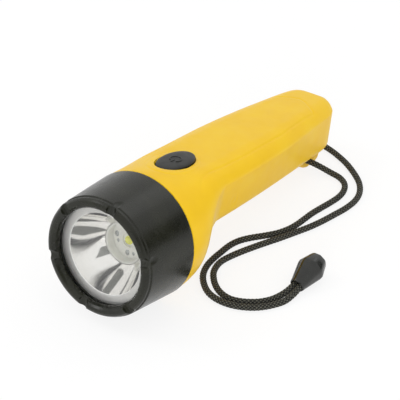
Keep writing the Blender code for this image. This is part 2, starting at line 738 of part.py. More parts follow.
def ball(name, size, location, turn, segments=12, rings=8):
    """A stretched ball: size is half its width, depth and height before it is turned about Y."""
    mesh = bpy.data.meshes.new(name)
    shape = bmesh.new()
    bmesh.ops.create_uvsphere(shape, u_segments=segments, v_segments=rings, radius=1)
    bmesh.ops.scale(shape, vec=size, verts=shape.verts)
    shape.to_mesh(mesh)
    shape.free()
    return place(bpy.data.objects.new(name, mesh), None, location=location, rotation=(0, turn, 0),
                 is_cutter=True)


def make_bezel():
    bezel = turned("bezel_ring", black_abs, bezel_profile(), steps=52, closed=True)
    half_pitch = thread_pitch / 2
    join(bezel, thread_bead("bezel_bead", thread_bore_radius - bead_sunk, -bead_start_y - half_pitch))
    rim_middle = (rim_flank_radius + lip_radius) / 2
    rim_half = (rim_flank_radius - lip_radius) / 2 + overrun
    for i in range(notch_count):
        angle = notch_turn + 2 * pi * i / notch_count
        groove_y = -bezel_length - notch_half_width + notch_depth
        spot = (rim_middle * sin(angle), groove_y, rim_middle * cos(angle))
        groove = (notch_half_width, notch_half_width, rim_half * sqrt(2))
        cut(bezel, ball("notch_%d" % (i + 1), groove, spot, angle))
        side_radius = bezel_front_radius + dimple_half_width - dimple_depth
        spot = (side_radius * sin(angle), -barrel_length, side_radius * cos(angle))
        hollow = (dimple_half_width, dimple_length, dimple_half_width)
        cut(bezel, ball("dimple_%d" % (i + 1), hollow, spot, angle))
    smooth(bezel)


# Head unit

def bowl_radius(y):
    """Radius of the reflector's parabola at a place along the axis."""
    share = (y + disc_y) / (flange_y + disc_y)
    return sqrt(blend(disc_radius ** 2, mouth_radius ** 2, share))


def make_head_unit():
    lens_radius = bezel_bore_radius - lens_gap
    turned("lens", clear_pc, disc(lens_radius, lens_front_y, lens_back_y))
    gasket_front = lens_back_y + seat_gap
    turned("lens_gasket", black_rubber,
           ring(lens_radius - gasket_width, lens_radius, gasket_front, gasket_front + gasket_thickness),
           closed=True)

    bowl_steps = 5
    bowl_y = [blend(flange_y, -disc_y, i / bowl_steps) for i in range(bowl_steps + 1)]
    inside = [(bowl_radius(y), y) for y in bowl_y]
    wall_y = [blend(flange_y + reflector_wall, -disc_y, i / bowl_steps) for i in range(bowl_steps + 1)]
    outside = [(bowl_radius(y - reflector_wall) + reflector_wall, y) for y in wall_y[:-1]]
    collar_outer = disc_radius + collar_wall
    skirt_inner = skirt_radius - skirt_wall
    profile = [(skirt_radius, skirt_end_y), (skirt_radius, flange_y)] + inside
    profile += [(disc_radius, collar_end_y), (collar_outer, collar_end_y)]
    profile += [(collar_outer, -disc_y + collar_wall)]
    profile += list(reversed(outside))
    profile += [(skirt_inner, flange_y + reflector_wall), (skirt_inner, skirt_end_y)]
    reflector = turned("reflector", mirror_coat, profile, closed=True)
    smooth(reflector)

    turned("led_board", white_board, disc(board_radius, board_front_y, board_front_y + board_thickness),
           steps=32)
    ring_back_y = board_front_y - seat_gap
    spacer_radius = disc_radius - seat_gap
    turned("led_spacer", white_nylon, ring(spacer_radius - spacer_wall, spacer_radius, -disc_y, ring_back_y),
           steps=32, closed=True)
    turned("led_ring", white_nylon,
           ring(lamp_ring_inner, lamp_ring_outer, ring_back_y - lamp_ring_height, ring_back_y),
           steps=24, closed=True)
    dome_steps = 4
    dome_base = ring_back_y - emitter_base
    turns = [pi / 2 * i / dome_steps for i in range(dome_steps)]
    dome = [(dome_radius * cos(turn), dome_base - dome_radius * sin(turn)) for turn in turns]
    turned("led_emitter", phosphor,
           [(0, ring_back_y), (emitter_radius, ring_back_y), (emitter_radius, dome_base)] + dome
           + [(0, dome_base - dome_radius)], steps=20)
    sink = turned("heat_sink", aluminium,
           [(0, sink_y + sink_flange + sink_boss), (sink_boss_radius, sink_y + sink_flange + sink_boss),
            (sink_boss_radius, sink_y + sink_flange), (sink_flange_radius, sink_y + sink_flange),
            (sink_flange_radius, sink_y), (0, sink_y)],
           steps=32)
    return sink


def make_module(sink):
    """The lamp's electronics, in a cup screwed behind the heat sink, with its contacts."""
    flange_radius = neck_bore_radius - slide_gap
    inner = module_radius - module_wall
    housing = turned("module_housing", black_abs,
           [(0, module_end_y), (module_radius, module_end_y), (module_radius, module_y + module_flange),
            (flange_radius, module_y + module_flange), (flange_radius, module_y), (inner, module_y),
            (inner, module_end_y - module_wall), (0, module_end_y - module_wall)])
    head_back = sink_y - seat_gap
    for number, side in ((1, 1), (2, -1)):
        spot = (side * module_screw_x, 0, 0)
        name = "module_screw_%d" % number
        tip = head_back + module_screw_reach
        turned(name, steel,
               [(0, tip), (screw_radius, tip), (screw_radius, head_back), (screw_head_radius, head_back),
                (screw_head_radius, head_back - screw_head), (0, head_back - screw_head)],
               steps=16, location=spot)
        drill = turned(name + "_hole", None, disc(screw_radius + seat_gap, sink_y - overrun, tip + seat_gap),
                       steps=16, rotation=ALONG_Y_TURNED, location=spot, is_cutter=True)
        cut(sink, drill)
        cut(housing, drill)
    board_y = module_y + driver_depth
    driver = turned("driver_board", green_board, disc(inner - seat_gap, board_y, board_y + driver_thickness),
                    steps=32)
    chip_low = board_y - chip_height
    chip = box("driver_chip", None, (chip_size / 2, chip_low, -chip_size / 2),
               (chip_size * 1.5, board_y + driver_thickness / 2, chip_size / 2), is_cutter=True)
    choke = turned("driver_choke", None,
                   disc(coil_chip_radius, board_y - coil_chip_height, board_y + driver_thickness / 2),
                   steps=16, location=(-chip_size, 0, 0), is_cutter=True)
    join(driver, chip, choke)
    for name, side in (("module_plus_contact", -1), ("module_minus_contact", 1)):
        turned(name, brass, disc(contact_radius, module_end_y + seat_gap, contact_face_y), steps=20,
               location=(side * row_x, 0, cell_axis_z))
    ring_front = module_end_y - ring_back - ring_width
    ring_inner = module_radius + seat_gap
    turned("module_ring_contact", brass,
           ring(ring_inner, ring_inner + ring_thickness, ring_front, ring_front + ring_width), closed=True)


def make_neck_seal():
    """O-ring behind the thread, lying in the gap between neck and bezel."""
    gap = thread_bore_radius - neck_radius
    radius = gap / 2 - seat_gap
    middle = neck_radius + gap / 2
    sides = 6
    y = -bead_start_y / 2
    angles = [2 * pi * i / sides for i in range(sides)]
    points = [(middle + radius * cos(angle), y - radius * sin(angle)) for angle in angles]
    turned("neck_o_ring", black_rubber, points, closed=True)


# Button and switch

def make_button():
    """The oval rubber cap, hollow from below, with its retaining flange and a moulded symbol."""
    shape = bmesh.new()
    dome = button_top - button_shoulder
    levels = [(button_skirt - button_flange, button_flange_width), (button_skirt, button_flange_width),
              (button_skirt, 0)]
    rings = [(z, button_half_width + extra, button_half_length + extra) for z, extra in levels]
    rings += [(button_shoulder + dome * rise, button_half_width * size, button_half_length * size)
              for rise, size in dome_shares]
    loops = []
    angles = [2 * pi * i / button_sides for i in range(button_sides)]
    for z, wide, long in rings:
        loops.append([shape.verts.new((wide * cos(angle), long * sin(angle), z)) for angle in angles])
    for low, high in zip(loops, loops[1:]):
        for i in range(button_sides):
            k = (i + 1) % button_sides
            shape.faces.new((low[i], low[k], high[k], high[i]))
    shape.faces.new(list(reversed(loops[0])))
    shape.faces.new(loops[-1])
    bmesh.ops.recalc_face_normals(shape, faces=shape.faces)
    mesh = bpy.data.meshes.new("button_cap")
    shape.to_mesh(mesh)
    shape.free()
    cap = place(bpy.data.objects.new("button_cap", mesh), black_rubber, location=(0, button_y, 0))
    cut(cap, oval("button_hollow", button_half_width - button_wall, button_half_length - button_wall,
                  button_skirt - button_flange - overrun, button_shoulder))
    arc = []
    for i in range(symbol_steps + 1):
        angle = symbol_gap + (2 * pi - 2 * symbol_gap) * i / symbol_steps
        arc.append((symbol_radius * sin(angle), -symbol_radius * cos(angle), button_top))
    bar = [(0, -symbol_radius * 0.35, button_top), (0, -symbol_radius * 1.35, button_top)]
    for name, points in (("symbol_ring", arc), ("symbol_bar", bar)):
        line = bpy.data.objects.new(name, tube_mesh(name, points, symbol_line, 1))
        join(cap, place(line, None, location=(0, button_y, 0), is_cutter=True))
    smooth(cap)


def make_switch():
    ear_top = retainer_top - retainer_thickness - seat_gap
    ear_reach = ear_screw_x + boss_radius
    retainer_low = retainer_top - retainer_thickness
    retainer = box("button_retainer", black_abs,
                   (-ear_reach, button_y - retainer_half_length, retainer_low),
                   (ear_reach, button_y + retainer_half_length, retainer_top))
    cut(retainer, oval("retainer_window", window_half_width, window_half_length,
                       retainer_low - overrun, retainer_top + overrun))
    housing = box("switch_housing", black_abs,
                  (-switch_half_width, button_y - switch_half_length, switch_bottom),
                  (switch_half_width, button_y + switch_half_length, ear_top))
    ears = box("switch_ears", None, (-ear_reach, button_y - boss_radius, ear_top - ear_thickness),
               (ear_reach, button_y + boss_radius, ear_top), is_cutter=True)
    join(housing, ears)
    well_radius = plunger_radius + plunger_bore_gap
    well_floor = switch_bottom + ear_thickness
    middle = (0, button_y, 0)
    cut(housing, turned("plunger_well", None, disc(well_radius, well_floor, ear_top + overrun), steps=16,
                        rotation=(0, 0, 0), location=middle, is_cutter=True))
    head_top = button_shoulder - seat_gap
    head_low = head_top - plunger_head
    tip = well_floor + button_travel + seat_gap
    turned("switch_plunger", white_nylon,
           [(0, head_top), (plunger_head_radius, head_top), (plunger_head_radius, head_low),
            (plunger_radius, head_low), (plunger_radius, tip), (0, tip)],
           steps=16, rotation=(0, 0, 0), location=middle)
    spring_low = ear_top + seat_gap
    coil("button_spring", spring_coil_radius, spring_wire, spring_low, head_low - seat_gap - spring_low,
         spring_turns, middle, rotation=(0, 0, 0))
    ear_low = ear_top - ear_thickness
    head_face = ear_low - seat_gap
    shank_top = retainer_top + screw_reach
    for number, side in ((1, -1), (2, 1)):
        spot = (side * ear_screw_x, button_y, 0)
        name = "switch_screw_%d" % number
        turned(name, steel,
               [(0, shank_top), (screw_radius, shank_top), (screw_radius, head_face),
                (screw_head_radius, head_face), (screw_head_radius, head_face - screw_head),
                (0, head_face - screw_head)],
               steps=16, rotation=(0, 0, 0), location=spot)
        drill = turned(name + "_hole", None,
                       disc(screw_radius + seat_gap, ear_low - overrun, retainer_top + overrun),
                       steps=16, rotation=(0, 0, 0), location=spot, is_cutter=True)
        cut(retainer, drill)
        cut(housing, drill)
    ring_top = module_radius + seat_gap + ring_thickness
    strip_low = ring_top + seat_gap
    housing_front = button_y - switch_half_length
    box("switch_front_strip", brass, (-strip_half_width, strip_front_y, strip_low),
        (strip_half_width, housing_front - seat_gap, strip_low + strip_thickness))
    rear_low = carrier_top_z + seat_gap
    box("switch_rear_strip", brass, (-strip_half_width, button_y + switch_half_length + seat_gap, rear_low),
        (strip_half_width, rear_strip_y, rear_low + strip_thickness))


# Batteries

def make_cell(name, side, y, nub_first):
    """One cell on its side; nub_first puts its raised end towards the head."""
    r = cell_radius
    wrap_edge = nub_height / 2
    if nub_first:
        body_front, body_back = y + nub_height, y + nub_height + cell_length
        profile = [(0, body_back), (r - wrap_edge, body_back), (r, body_back - wrap_edge),
                   (r, body_front + wrap_edge), (r - wrap_edge, body_front), (nub_radius, body_front),
                   (nub_radius, y), (0, y)]
    else:
        body_front, body_back = y, y + cell_length
        tip = body_back + nub_height
        profile = [(0, tip), (nub_radius, tip), (nub_radius, body_back), (r - wrap_edge, body_back),
                   (r, body_back - wrap_edge), (r, body_front + wrap_edge), (r - wrap_edge, body_front),
                   (0, body_front)]
    turned(name, cell_wrap, profile, steps=24, location=(side * row_x, 0, cell_axis_z))


def make_batteries():
    pitch = cell_length + nub_height + cell_gap
    left_start = row_start_y
    right_start = row_start_y + cell_spring_length + seat_gap
    make_cell("cell_1", -1, left_start, True)
    make_cell("cell_2", -1, left_start + pitch, True)
    make_cell("cell_3", 1, right_start, False)
    make_cell("cell_4", 1, right_start + pitch, False)

    top = carrier_top_z
    carrier = box("battery_carrier", black_abs, (-carrier_half_width, carrier_front_y, carrier_bottom_z),
                  (carrier_half_width, carrier_front_y + carrier_wall, top))
    inside_front = carrier_front_y + carrier_wall / 2
    inside_rear = carrier_rear_y + carrier_wall / 2
    floor = box("carrier_floor", None, (-carrier_rear_half_width, inside_front, carrier_bottom_z),
                (carrier_rear_half_width, inside_rear, carrier_floor_z), is_cutter=True)
    rear = box("carrier_rear", None, (-carrier_rear_half_width, carrier_rear_y, carrier_bottom_z),
               (carrier_rear_half_width, carrier_end_y, top), is_cutter=True)
    ridge = box("carrier_ridge", None,
                (-carrier_ridge_half_width, inside_front, carrier_floor_z - carrier_floor / 2),
                (carrier_ridge_half_width, inside_rear, carrier_floor_z + carrier_ridge),
                is_cutter=True)
    tie = box("carrier_tie", None, (-carrier_tie_half_width, inside_front, top - carrier_tie),
              (carrier_tie_half_width, inside_rear, top - overrun / 10), is_cutter=True)
    join(carrier, floor, rear, ridge, tie)

    for name, side in (("front_plus_plate", -1), ("front_minus_plate", 1)):
        low = (side * row_x - plate_half_width, front_plate_y, cell_axis_z - plate_half_height)
        high = (side * row_x + plate_half_width, front_plate_y + plate_thickness,
                cell_axis_z + plate_half_height)
        box(name, brass, low, high)
    box("rear_link_plate", brass,
        (-row_x - plate_half_width, link_plate_y, cell_axis_z - plate_half_height / 2),
        (row_x + plate_half_width, link_plate_y + plate_thickness, cell_axis_z + plate_half_height / 2))
    coil("cell_spring_front", cell_spring_radius, cell_spring_wire,
         right_start - cell_spring_length - seat_gap,
         cell_spring_length, cell_spring_turns, (row_x, 0, cell_axis_z))
    rear_gap_start = left_start + row_length + seat_gap
    coil("cell_spring_rear", cell_spring_radius, cell_spring_wire, rear_gap_start,
         link_plate_y - seat_gap - rear_gap_start, cell_spring_turns, (-row_x, 0, cell_axis_z))
    lead_start = contact_face_y + seat_gap
    lead_length = carrier_front_y - seat_gap - lead_start
    for name, side in (("carrier_plus_spring", -1), ("carrier_minus_spring", 1)):
        coil(name, contact_radius - cell_spring_wire * 2, cell_spring_wire, lead_start, lead_length,
             front_spring_turns, (side * row_x, 0, cell_axis_z))


# Wrist cord

def smooth_route(route, step):
    """Points at an even step along a smooth curve through the route's points."""
    points = [Vector(point) for point in route]
    fine = []
    samples = 8
    for i in range(len(points) - 1):
        before = points[max(i - 1, 0)]
        after = points[min(i + 2, len(points) - 1)]
        a, b = points[i], points[i + 1]
        for k in range(samples):
            t = k / samples
            fine.append(0.5 * (2 * a + (b - before) * t + (2 * before - 5 * a + 4 * b - after) * t * t
                               + (3 * a - before - 3 * b + after) * t ** 3))
    fine.append(points[-1])
    length = sum((b - a).length for a, b in zip(fine, fine[1:]))
    count = max(round(length / step), 2)
    spaced = [fine[0]]
    walked = 0.0
    for a, b in zip(fine, fine[1:]):
        piece = (b - a).length
        while len(spaced) < count and walked + piece >= length * len(spaced) / count:
            share = (length * len(spaced) / count - walked) / piece
            spaced.append(a.lerp(b, share))
        walked += piece
    spaced.append(fine[-1])
    return spaced, length


def make_cord():
    radius = cord_diameter / 2
    step = cord_step * cord_diameter
    for name, route in (("lanyard_near", near_route), ("lanyard_far", far_route)):
        points, length = smooth_route(route, step)
        strand = bpy.data.objects.new(name, tube_mesh(name, points, radius, cord_sides))
        place(strand, cord_braid, frame=floor_frame)
        smooth(strand, radians(60))
        print(name, "length", round(length, 4), "points", len(points))
    bar_top = floor_z(cord_y) + slot_floor
    bight_z = bar_top + (radius + seat_gap / 2) / cos(tilt)
    bight = tube_mesh("lanyard_bight", [(-foot_half_width, 0, 0), (0, 0, 0), (foot_half_width, 0, 0)], radius,
                      cord_sides)
    item = place(bpy.data.objects.new("lanyard_bight", bight), cord_braid, location=(0, cord_y, bight_z))
    smooth(item, radians(60))

    bell = [(blend(end_small_radius, end_big_radius, widen), end_length * at) for at, widen in bell_shares]
    outer = [(end_tip_radius, end_length), (end_big_radius - overrun / 10, end_length - end_chamfer)]
    outer += list(reversed(bell)) + [(end_small_radius - overrun / 10, 0)]
    profile = [(0, end_length)] + outer + [(0, 0)]
    flat_share = cos(pi / end_sides)     # a flat side's distance from the axis, of a corner's
    drop = (end_big_radius - end_small_radius) * flat_share
    lean = atan(drop / (end_length * bell_shares[-1][0]))
    lift = max(radius * flat_share * cos(lean) - along * sin(lean) for radius, along in bell)
    turn = (radians(-90) + lean, 0, 0)
    spot = (end_x, end_y, lift)
    cord_end = turned("cord_end", black_rubber, profile, steps=end_sides, rotation=turn, location=spot,
                      frame=floor_frame)
    cord_end.data.transform(Matrix.Rotation(pi / end_sides, 4, "Z"))
    cut(cord_end, turned("cord_end_bore", None, disc(end_bore_radius, -overrun, end_bore_depth), steps=24,
                         rotation=turn, location=spot, frame=floor_frame, is_cutter=True))
    smooth(cord_end, radians(20))


def centre_on_floor():
    """Slide everything along Y until the light, without its cord, is centred on the origin."""
    bpy.context.view_layer.update()
    graph = bpy.context.evaluated_depsgraph_get()
    reach = []
    for item in light_parts.objects:
        if item.type != "MESH" or item.name.startswith(("lanyard", "cord")):
            continue
        evaluated = item.evaluated_get(graph)
        reach += [(evaluated.matrix_world @ Vector(corner)).y for corner in evaluated.bound_box]
        mesh = evaluated.to_mesh()
        ys = [(evaluated.matrix_world @ vertex.co).y for vertex in mesh.vertices]
        reach[-8:] = [min(ys), max(ys)]
        evaluated.to_mesh_clear()
    floor_frame.location.y = -(min(reach) + max(reach)) / 2
    bpy.context.view_layer.update()


make_body_shell()
make_neck_seal()
make_bezel()
make_module(make_head_unit())
make_button()
make_switch()
make_batteries()
make_cord()
centre_on_floor()
print("tilt in degrees", round(tilt * 180 / pi, 3), "axis height", round(axis_height, 5),
      "seam at y", round(floor_frame.location.y, 5))
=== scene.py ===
# Floating hand light: the finished surfaces of its head, handle, button and wrist cord,
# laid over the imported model. Sizes are in millimetres unless a comment says otherwise.
import json
from math import acos, asin, atan, ceil, cos, pi, radians, sin, sqrt, tan
import bpy
import numpy as np
from mathutils import Matrix, Vector


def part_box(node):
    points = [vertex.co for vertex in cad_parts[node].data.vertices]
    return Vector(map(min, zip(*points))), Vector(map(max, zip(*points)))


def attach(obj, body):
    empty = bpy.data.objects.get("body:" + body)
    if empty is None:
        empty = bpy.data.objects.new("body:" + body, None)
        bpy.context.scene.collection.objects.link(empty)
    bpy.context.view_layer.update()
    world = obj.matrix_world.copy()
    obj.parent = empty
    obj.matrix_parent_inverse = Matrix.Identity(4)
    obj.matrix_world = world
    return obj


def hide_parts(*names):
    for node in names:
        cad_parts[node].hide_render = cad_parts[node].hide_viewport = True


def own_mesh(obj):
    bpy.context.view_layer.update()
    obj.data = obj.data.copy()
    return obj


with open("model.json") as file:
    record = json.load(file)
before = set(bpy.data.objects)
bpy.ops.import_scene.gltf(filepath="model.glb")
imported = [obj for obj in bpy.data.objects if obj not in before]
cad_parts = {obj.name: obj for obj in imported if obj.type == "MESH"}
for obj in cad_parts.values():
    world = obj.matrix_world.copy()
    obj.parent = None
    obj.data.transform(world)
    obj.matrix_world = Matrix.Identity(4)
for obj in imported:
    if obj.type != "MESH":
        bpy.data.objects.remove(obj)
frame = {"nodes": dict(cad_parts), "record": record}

mm, metre = 0.001, 1000
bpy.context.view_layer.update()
nodes = frame["nodes"]
joints = {joint["name"]: joint for joint in frame["record"]["behaviour"]["joints"]}
seam = joints["bezel_turn"]
lightTilt = asin(seam["axis"][2])
lightFrame = Matrix.Translation(seam["pos_m"]) @ Matrix.Rotation(-lightTilt, 4, "X")
scene = bpy.context.scene
tools = bpy.ops.mesh


def report(stage):
    print("stage:", stage)


# Camera, at the photograph's angle
cameraSetup = {"azimuth": 35.30, "elevation": 33.60, "lens": 148.95, "sensor": 36, "nearest": 0.01,
               "place": (0.3860, -0.554768, 0.467104)}


def addCamera(setup):
    data = bpy.data.cameras.new("camera")
    data.lens, data.sensor_width, data.clip_start = setup["lens"], setup["sensor"], setup["nearest"]
    camera = bpy.data.objects.new("camera", data)
    camera.location = setup["place"]
    camera.rotation_euler = (radians(90 - setup["elevation"]), 0, radians(setup["azimuth"]))
    scene.collection.objects.link(camera)
    scene.camera = camera


addCamera(cameraSetup)
report("camera")


# Small helpers

def hexColor(code):
    channels = [int(code[i:i + 2], 16) / 255 for i in (0, 2, 4)]
    linear = [c / 12.92 if c <= 0.04045 else ((c + 0.055) / 1.055) ** 2.4 for c in channels]
    return (*linear, 1)


def setNode(node, settings=None, links=None):
    # a setting is an input, a property, or a ramp's stops as (place, hex colour)
    for name, value in (settings or {}).items():
        if name == "stops":
            while len(node.color_ramp.elements) < len(value):
                node.color_ramp.elements.new(0.5)
            for element, (place, code) in zip(node.color_ramp.elements, value):
                element.position = place
                element.color = hexColor(code)
        elif isinstance(name, int) or name in node.inputs:
            node.inputs[name].default_value = value
        else:
            setattr(node, name, value)
    for name, source in (links or {}).items():
        node.id_data.links.new(source, node.inputs[name])


def addNode(tree, kind, settings=None, links=None, out=0):
    node = tree.nodes.new("ShaderNode" + kind)
    setNode(node, settings, links)
    return node.outputs[out]


def newMaterial(name, roughness, metallic=0.0, ior=1.5):
    made = bpy.data.materials.new(name)
    made.use_nodes = True
    tree = made.node_tree
    shader = tree.nodes["Principled BSDF"]
    setNode(shader, {"Roughness": roughness, "Metallic": metallic})
    # a metal keeps the default IOR
    if not metallic:
        setNode(shader, {"IOR": ior})
    return made, tree, shader, addNode(tree, "TexCoord", out="Object")


def readPoints(piece):
    spots = np.empty(len(piece.data.vertices) * 3)
    piece.data.vertices.foreach_get("co", spots)
    return spots.reshape(-1, 3)


def writePoints(piece, spots):
    piece.data.vertices.foreach_set("co", np.asarray(spots, float).ravel())
    piece.data.update()


def writeLayer(piece, label, values):
    layer = piece.data.attributes.new(label, "FLOAT", "POINT")
    layer.data.foreach_set("value", values.astype(np.float32))


def pick(piece):
    bpy.ops.object.select_all(action="DESELECT")
    piece.select_set(True)
    bpy.context.view_layer.objects.active = piece


def addShape(name, tool, **settings):
    bpy.ops.object.select_all(action="DESELECT")
    tool(**settings)
    piece = bpy.context.object
    piece.name = piece.data.name = name
    return piece


def workMesh(piece, *steps):
    # mesh tools one after the other, each on the whole mesh
    pick(piece)
    bpy.ops.object.mode_set(mode="EDIT")
    for tool, settings in steps:
        tools.select_all(action="SELECT")
        tool(**settings)
    bpy.ops.object.mode_set(mode="OBJECT")


weld = (tools.remove_doubles, {"threshold": 0.002 * mm})
faceOut = (tools.normals_make_consistent, {"inside": False})


def rollGrid(name, around, along, place, dress=None):
    # a flat grid, rolled up and closed: place gets the shares round and along, and gives points in
    # millimetres; dress may write on the grid before its rolled edges merge
    piece = addShape(name, tools.primitive_grid_add, x_subdivisions=around, y_subdivisions=along, size=2)
    flat = readPoints(piece)
    writePoints(piece, place((flat[:, 0] + 1) / 2, (flat[:, 1] + 1) / 2) * mm)
    if dress:
        dress(piece)
    workMesh(piece, weld, (tools.fill_holes, {"sides": 0}), faceOut)
    return piece


def steadyCurve(at, xs, ys):
    # a smooth curve through a table, without overshoot between its points
    xs, ys = np.asarray(xs, float), np.asarray(ys, float)
    gaps = np.diff(xs)
    rises = np.diff(ys) / gaps
    slopes = np.zeros(len(xs))
    slopes[0], slopes[-1] = rises[0], rises[-1]
    for i in range(1, len(xs) - 1):
        if rises[i - 1] * rises[i] > 0:
            a, b = 2 * gaps[i] + gaps[i - 1], gaps[i] + 2 * gaps[i - 1]
            slopes[i] = (a + b) / (a / rises[i - 1] + b / rises[i])
    k = np.clip(np.searchsorted(xs, at, side="right") - 1, 0, len(xs) - 2)
    t = np.clip((at - xs[k]) / gaps[k], 0, 1)
    bend = (2 * t ** 3 - 3 * t ** 2 + 1) * ys[k] + (t ** 3 - 2 * t ** 2 + t) * gaps[k] * slopes[k]
    return bend + (3 * t ** 2 - 2 * t ** 3) * ys[k + 1] + (t ** 3 - t ** 2) * gaps[k] * slopes[k + 1]


def easeIn(value, low, high):
    share = np.clip((value - low) / (high - low), 0, 1)
    return share * share * (3 - 2 * share)


def roundCorners(corners, closed=True, steps=5):
    # (x, y, radius) corners to points, each corner turned into a short curve
    points = []
    count = len(corners)
    for i, (x, y, radius) in enumerate(corners):
        here = np.array((x, y), float)
        if radius == 0 or (not closed and i in (0, count - 1)):
            points.append(here)
            continue
        before = np.array(corners[i - 1][:2], float)
        after = np.array(corners[(i + 1) % count][:2], float)
        back, ahead = before - here, after - here
        backLength, aheadLength = np.linalg.norm(back), np.linalg.norm(ahead)
        back, ahead = back / backLength, ahead / aheadLength
        half = acos(max(-1, min(1, back @ ahead))) / 2
        reach = min(radius / max(tan(half), 0.05), backLength * 0.49, aheadLength * 0.49)
        for k in range(steps + 1):
            t = k / steps
            points.append(here + back * reach * (1 - t) ** 2 + ahead * reach * t ** 2)
    return points


def splitLong(points, longest, closed=True):
    # adds points so that no step is longer than asked
    made = []
    ends = list(zip(points, points[1:] + points[:1])) if closed else list(zip(points, points[1:]))
    for a, b in ends:
        parts = max(1, ceil(np.linalg.norm(b - a) / longest))
        made += [a + (b - a) * k / parts for k in range(parts)]
    if not closed:
        made.append(points[-1])
    return made


def turnProfile(name, profile, steps):
    # (radius, y) points spun about the light's axis with the Spin tool
    piece = addShape(name, tools.primitive_circle_add, vertices=len(profile), radius=1)
    writePoints(piece, np.array([(radius, y, 0) for radius, y in profile]) * mm)
    workMesh(piece, (tools.spin, {"steps": steps, "angle": 2 * pi, "center": (0, 0, 0), "axis": (0, 1, 0)}),
             weld, (tools.dissolve_degenerate, {"threshold": 0.001 * mm}), faceOut)
    return piece


def applyBoolean(piece, operation, *others):
    for other in others:
        pick(piece)
        step = piece.modifiers.new("cut", "BOOLEAN")
        step.operation = operation
        step.object = other
        bpy.ops.object.modifier_apply(modifier=step.name)
        bpy.data.objects.remove(other, do_unlink=True)


def settle(piece, body, material, replaced=(), angle=35, inLight=True):
    # puts the place in the mesh, then says what the piece is made of and rides on
    piece.data.transform((lightFrame if inLight else Matrix.Identity(4)) @ piece.matrix_world)
    piece.matrix_world = Matrix.Identity(4)
    pick(piece)
    bpy.ops.object.shade_smooth_by_angle(angle=radians(angle))
    piece.data.materials.clear()
    piece.data.materials.append(material)
    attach(piece, body)
    if replaced:
        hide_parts(*replaced)
    return piece


# Braided polyester cord: twelve dull black bundles, six each way, that cross, with fine threads along each.
# A fine fuzz varies the tone at random; over it the colour is painted by the height in the braid: painted
# shade, near black, in the gaps between the bundles, and a painted grey sheen on their crowns.
def makeBraidMaterial():
    made, tree, shader, spot = newMaterial("braidedPolyester", 0.78, ior=1.40)
    uv = addNode(tree, "UVMap", {"uv_map": "UVMap"})
    side, depth = (addNode(tree, "Attribute", {"attribute_name": name}, out="Fac")
                   for name in ("strandSide", "strandDepth"))
    # threads 0.14 mm apart; the real ones are finer than the render can show
    waves = [addNode(tree, "TexWave", {"Scale": 2 * pi / (20 * 0.14), "Distortion": 1.2, "Detail": 2.0,
                                       "Detail Scale": 3.0},
                     {"Vector": addNode(tree, "Mapping", {"Rotation": (0, 0, slant)}, {"Vector": uv})}, "Fac")
             for slant in (0.90, -0.90)]
    threads = addNode(tree, "Mix", None, {0: side, 2: waves[0], 3: waves[1]})
    fuzz = addNode(tree, "TexNoise", {"Scale": 1 / (0.5 * mm), "Detail": 4.0}, {"Vector": spot}, "Fac")
    shade = addNode(tree, "Math", {"operation": "MULTIPLY_ADD", 1: 0.45, 2: 0.30}, {0: threads})
    blend = addNode(tree, "Math", {"operation": "MULTIPLY"}, {0: shade, 1: depth})
    mixed = addNode(tree, "Math", {"operation": "MULTIPLY_ADD", 1: 0.35}, {0: fuzz, 2: blend})
    # painted shade and painted sheen: low braid height turns near black, the crowns pale grey
    shadeAndSheenTones = [(0.30, "040404"), (0.58, "151513"), (0.80, "7c7c70")]
    color = addNode(tree, "ValToRGB", {"stops": shadeAndSheenTones}, {"Fac": mixed})
    bump = addNode(tree, "Bump", {"Strength": 1.0, "Distance": 0.05 * mm}, {"Height": mixed})
    setNode(shader, {"Sheen Weight": 0.04, "Sheen Roughness": 0.5}, {"Base Color": color, "Normal": bump})
    return made


braid = makeBraidMaterial()

# Wrist cord: two strands and the short run between them in the lug's slot. A route's points are
# (x, y, z) from the floor under the seam, or (x, y) where the cord lies on the floor.
cordSetup = {"diameter": 3.0, "sides": 56, "ringStep": 0.26, "bundles": 6, "lozenge": 1.85, "relief": 0.40,
             "proud": 0.14, "floorGap": 0.02, "lieZ": 1.6, "slotHalf": 8.0}
nearRoute = (
    (8.3, 132.4, 5.8), (12.0, 132.6, 5.6), (16.5, 133.6, 4.2), (22.0, 134.7, 2.2), (28.2, 133.9),
    (33.2, 130.4), (36.2, 125.0), (37.2, 118.5), (36.4, 111.0), (35.0, 103.5), (34.0, 97.0), (33.6, 91.0),
    (33.2, 85.5), (32.1, 79.6), (29.5, 73.3), (25.3, 67.4), (20.9, 62.0), (17.6, 56.5), (16.1, 50.5),
    (15.9, 43.5), (16.0, 36.0), (17.1, 29.2), (19.9, 22.7), (24.3, 17.4), (29.2, 13.6), (34.6, 11.6),
    (40.6, 11.2), (46.4, 12.4), (51.9, 15.0), (56.3, 18.6), (59.7, 23.0), (62.4, 28.2, 1.7),
    (63.6, 33.5, 2.7), (63.8, 38.3, 3.6), (63.8, 40.6, 4.0))
farRoute = (
    (-8.3, 132.4, 5.8), (-12.0, 132.5, 5.6), (-16.2, 134.2, 4.0), (-19.0, 138.2, 2.2), (-19.6, 144.0),
    (-17.6, 150.0), (-13.2, 154.4), (-7.6, 156.6), (-1.5, 157.0), (4.5, 156.0), (10.0, 154.4), (15.8, 152.0),
    (23.8, 147.8), (32.2, 141.8), (39.2, 135.2), (43.8, 127.8), (45.8, 120.0), (45.5, 111.5), (43.7, 102.6),
    (41.7, 94.0), (39.5, 86.8), (37.1, 80.8), (34.8, 75.2), (32.6, 70.0), (30.2, 64.8), (27.8, 59.5),
    (25.5, 54.1), (23.3, 48.5), (21.5, 43.0), (20.4, 37.8), (20.7, 33.0), (22.5, 27.8), (26.1, 22.9),
    (30.7, 18.7), (35.5, 16.1), (40.6, 15.1), (45.5, 16.2), (50.0, 18.6), (54.0, 22.0), (57.2, 27.0),
    (59.6, 32.8, 2.5), (60.6, 38.3, 3.6), (60.6, 40.6, 4.0))


